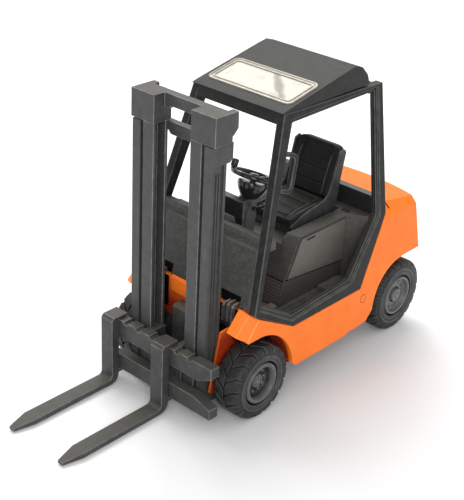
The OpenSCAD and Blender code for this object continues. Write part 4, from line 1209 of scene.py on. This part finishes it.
class FORKLIFT_OT_controls(ForkliftOperator, bpy.types.Operator):
    """Steering wheel, column, console, pedals and levers"""

    bl_idname = "forklift.controls"
    bl_label = "Controls"

    def execute(self, context):
        soften("steering_column", 0.45, "column", "cab_edge", segments=3)
        soften("lever_console", 0.3, "column", "cab_edge")
        soften("pedals", 0.1, "black", "black_edge")
        soften("levers", 0.1, "gloss", "gloss_edge")
        self.build_wheel()

        pod = Shape()
        pod.lathe(
            [
                (-6.2, 0.85), (-6.2, 2.2), (-5.3, 2.8), (-3.9, 3.7), (-2.6, 4.15), (-1.85, 4.1),
                (-1.6, 3.6), (-1.7, 1.9), (-1.7, 0.85),
            ],
            on_column, 40,
        )
        pod.done(
            "column_pod", TRUCK, "black_plastic", ("gloss", "gloss_edge"), width=0.1, limit=50
        )

        box = Shape()
        outline = [(-7.6, 13.0), (-7.6, 15.4), (0.4, 15.4), (2.2, 16.6), (2.2, 13.6), (1.0, 13.0)]
        box.prism(outline, 41.5, 52.3, axis=2)
        box.done("dash_box", TRUCK, "black_plastic", ("black", "cab_edge"), width=0.22)

        gaiters = Shape()
        profile = [
            (-0.1, 0.75), (0.0, 0.8), (0.35, 0.62), (0.5, 0.68), (0.75, 0.45), (0.75, 0.34),
            (-0.1, 0.34),
        ]
        for i in range(3):
            x = -8.2 - 1.7 * i
            gaiters.lathe(profile, lambda along, p, q: (x + p, 13 + q, 49.62 + along), 20)
        gaiters.done("lever_gaiters", TRUCK, "black_plastic", ("black",), smooth=50)
        return {"FINISHED"}

    def build_wheel(self):
        """A gloss rim with three spokes, a hub cap and a knob."""
        wheel = Shape()
        rim_r, tube_r = WHEEL_R - 0.72, 0.7
        rim = [on_column(0, rim_r * math.cos(a), rim_r * math.sin(a)) for a in circle(72)]
        wheel.tube(rim, [tube_r] * len(rim), sides=16, closed=True)
        for angle in (-30, 90, 210):
            c, s = math.cos(math.radians(angle)), math.sin(math.radians(angle))
            wheel.loft(
                [
                    on_column(w, c * r - s * u, s * r + c * u)
                    for u, w in corners((-half, low), (half, high))
                ]
                for r, half, low, high in (
                    (1.2, 0.95, -0.75, -0.05), (3.0, 0.55, -0.55, 0.05), (5.9, 0.7, -0.3, 0.3)
                )
            )
        cap = [
            (-1.2, 0.85), (-1.2, 1.7), (-0.2, 1.75), (0.35, 1.5), (0.62, 1.0), (0.68, 0.02),
            (0.35, 0.02), (0.35, 0.85),
        ]
        wheel.lathe(cap, on_column, 40)
        a = math.radians(215)
        x, y = ((WHEEL_R - 0.65) * part for part in (math.cos(a), math.sin(a)))
        knob = [
            (0.2, 0.02), (0.2, 0.7), (0.8, 0.7), (0.95, 0.98), (2.7, 1.02), (3.0, 0.8),
            (3.05, 0.02),
        ]
        wheel.lathe(knob, lambda along, p, q: on_column(along, x + p, y + q), 24)
        wheel.done(
            "steering_wheel_ring", "hand_wheel", "black_gloss", ("gloss", "gloss_edge"),
            replaces=("steering_wheel",), width=0.08, limit=50,
        )


class FORKLIFT_OT_mast(ForkliftOperator, bpy.types.Operator):
    """Outer and inner rails and the mast head"""

    bl_idname = "forklift.mast"
    bl_label = "Mast"

    def execute(self, context):
        soften("outer_rail_left outer_rail_right outer_top_bar outer_low_bar", 0.16, *MAST_LOOK)
        soften("inner_rail_left inner_rail_right inner_low_bar mast_head", 0.16, *MAST_LOOK)
        soften("mast_pin", 0.1, "steel")
        marks = Shape()
        profile = [
            (-0.05, 0.02), (-0.05, 0.95), (0.1, 0.95), (0.1, 0.8), (0.03, 0.75), (0.03, 0.02)
        ]
        for side in SIDES.values():
            x, z = side * 11.6, 80.6
            marks.lathe(profile, lambda along, p, q: (x + p, along - MAST_FRONT, z + q), 32)
        marks.done("head_marks", "inner_mast", "mast_metal", ("mast",), smooth=30)
        return {"FINISHED"}


class FORKLIFT_OT_carriage(ForkliftOperator, bpy.types.Operator):
    """Fork carriage and the two forks"""

    bl_idname = "forklift.carriage"
    bl_label = "Carriage and forks"

    def execute(self, context):
        soften("carriage_plate_left carriage_plate_right", 0.16, "forks", "forks_edge")
        soften("carriage_upper_bar carriage_lower_bar", 0.16, "forks", "forks_edge")
        soften("fork_left fork_right", 0.25, "forks", "forks_edge")
        return {"FINISHED"}


class FORKLIFT_OT_axles(ForkliftOperator, bpy.types.Operator):
    """Front axle housing and the steered rear axle"""

    bl_idname = "forklift.axles"
    bl_label = "Axles"

    def execute(self, context):
        soften("axle_housing rear_axle_beam", 0.15, "axle", "axle_edge")
        soften("knuckle_left knuckle_right tie_rod", 0.15, "axle", "axle_edge")
        soften("front_shaft", 0.1, "steel")
        return {"FINISHED"}


class Wheel:
    """One wheel: its sizes, its body, and how its points map to the model's layout."""

    def __init__(self, end, name, side):
        self.end, self.name, self.side = end, name, side
        self.sizes = WHEELS[end]
        self.body = f"rear_{name}_wheel" if end == "rear" else "front_wheels"

    def put(self, out, up, across):
        """A point from the axle's middle, out from the wheel's outer face."""
        s = self.sizes
        return (self.side * (s["face_x"] + out), s["y"] + across, s["radius"] + up)

    def draw_bolts(self, shape, bolts, start=0.0, sides=6):
        """Studs with a small chamfer, on a ring about the axle. start is a share of a step."""
        ring_r, radius, count, low, high = bolts
        for i in range(count):
            angle = 2 * math.pi * (i + start) / count
            y, z = ring_r * math.sin(angle), ring_r * math.cos(angle)
            shape.loft(
                [
                    self.put(out, z + r * math.cos(angle + k), y + r * math.sin(angle + k))
                    for k in circle(sides)
                ]
                for out, r in ((low, radius), (high - 0.12, radius), (high, radius * 0.72))
            )

    def draw_lug(self, shape, depth, stations):
        """A slanted tread block. Each station is (outward, drop of the top, angle, half angle)."""
        rows = []
        for out, drop, angle, half in stations:
            top = self.sizes["radius"] - drop
            side_top, foot = top - 0.03, top - depth - 0.25
            row = []
            for share, r in ((-1.12, foot), (-1, side_top), (0, top), (1, side_top), (1.12, foot)):
                a = angle + half * share
                row.append(self.put(out, r * math.cos(a), r * math.sin(a)))
            rows.append(row)
        shape.loft(rows)

    def build_tyre(self):
        """A tyre with a ribbed sidewall and two rows of slanted tread blocks."""
        width, rim_r = self.sizes["width"], self.sizes["rim_r"]
        depth = sizes().tread_depth / MM
        core = self.sizes["radius"] - depth
        shape = Shape()
        shape.lathe(
            [
                (-width + 0.6, rim_r), (-width, rim_r + 0.7), (-width, core - 2.0),
                (-width + 0.3, core - 0.9), (-width + 0.8, core - 0.2), (-width + 1.6, core),
                (-width / 2, core + 0.03), (-1.6, core), (-0.8, core - 0.2), (-0.3, core - 0.75),
                (-0.08, core - 1.25), (0.0, core - 1.7), (-0.02, core - 2.1), (-0.16, core - 2.2),
                (-0.18, core - 2.35), (-0.04, core - 2.45), (-0.1, rim_r + 0.95),
                (-0.34, rim_r + 0.8), (-0.36, rim_r + 0.55), (-0.2, rim_r + 0.35),
                (-0.24, rim_r + 0.1), (-0.6, rim_r),
            ],
            self.put, 96,
        )
        lugs = getattr(sizes(), f"{self.end}_lugs")
        pitch = 2 * math.pi / lugs
        slant, half, reach = 0.55 * pitch, 0.39 * pitch, width / 2 - 0.9
        for i in range(lugs):
            for way, start in ((1, i * pitch), (-1, (i + 0.5) * pitch)):
                stations = [
                    (way * share * reach - width / 2, drop, start + slant * turn, half * size)
                    for share, drop, turn, size in LUG_STATIONS
                ]
                self.draw_lug(shape, depth, stations)
        shape.done(
            f"{self.end}_tread_{self.name}", self.body, "tyre", ("tyre", "tyre_edge"),
            replaces=(f"{self.end}_tyre_{self.name}",), width=0.11, limit=38,
        )

    def build_rim(self):
        """A rim with a thick lip in a notched recess, a dark dish, bolts and a hub cap."""
        s = self.sizes
        shape = Shape()
        shape.lathe(s["lip"], self.put, 72)
        self.draw_bolts(shape, s["bolts"], 0.5)
        shape.lathe(s["hub"], self.put, 40)
        self.draw_bolts(shape, s["hub_bolts"])
        node = f"{self.end}_rim_{self.name}"
        shape.done(
            f"{node}_lip", self.body, "rim_plastic", ("rim", "rim_edge"), replaces=(node,),
            width=0.09, limit=40,
        )
        dark = Shape()
        inner, outer_r = -s["width"] + 0.5, s["lip"][0][1]
        back = [(inner, 0.02), (inner, outer_r), (-1.1, outer_r)]
        dark.lathe(back + s["dish"], self.put, 64)
        self.draw_bolts(dark, (outer_r - 0.22, 0.17, 36, -1.3, -0.55), sides=4)
        dark.done(
            f"{node}_dish", self.body, "rim_plastic", ("rim_dark", "rim_dark_edge"), width=0.06,
            limit=45,
        )


class FORKLIFT_OT_wheels(ForkliftOperator, bpy.types.Operator):
    """Tyres with their tread, and rims with their bolts"""

    bl_idname = "forklift.wheels"
    bl_label = "Wheels"

    def execute(self, context):
        wheels = [Wheel(end, name, side) for end in WHEELS for name, side in SIDES.items()]
        for wheel in wheels:
            wheel.build_tyre()
        for wheel in wheels:
            wheel.build_rim()
        return {"FINISHED"}


class FORKLIFT_PT_panel(bpy.types.Panel):
    """Lists the operators that build the forklift"""

    bl_idname = "FORKLIFT_PT_panel"
    bl_label = "Toy forklift"
    bl_space_type = "VIEW_3D"
    bl_region_type = "UI"
    bl_category = "Forklift"

    def draw(self, context):
        for operator in OPERATORS:
            self.layout.operator(operator.bl_idname)
        for group in (context.scene.forklift_sizes, context.scene.forklift_colours):
            box = self.layout.box()
            for name in group.__annotations__:
                box.prop(group, name)


OPERATORS = (
    FORKLIFT_OT_stage,
    FORKLIFT_OT_body,
    FORKLIFT_OT_cab,
    FORKLIFT_OT_cowl,
    FORKLIFT_OT_floor,
    FORKLIFT_OT_hood,
    FORKLIFT_OT_seat,
    FORKLIFT_OT_controls,
    FORKLIFT_OT_mast,
    FORKLIFT_OT_carriage,
    FORKLIFT_OT_axles,
    FORKLIFT_OT_wheels,
)
CLASSES = (ForkliftColours, ForkliftSizes, *OPERATORS, FORKLIFT_PT_panel)


def register():
    for made in CLASSES:
        bpy.utils.register_class(made)
    bpy.types.Scene.forklift_colours = PointerProperty(type=ForkliftColours)
    bpy.types.Scene.forklift_sizes = PointerProperty(type=ForkliftSizes)


def unregister():
    del bpy.types.Scene.forklift_sizes
    del bpy.types.Scene.forklift_colours
    for made in reversed(CLASSES):
        bpy.utils.unregister_class(made)


def main():
    """Builds everything in order."""
    register()
    make_groups()
    make_finishes()
    for operator in OPERATORS:
        group, name = operator.bl_idname.split(".")
        getattr(getattr(bpy.ops, group), name)()
    bpy.context.view_layer.update()


if __name__ == "__main__":
    main()
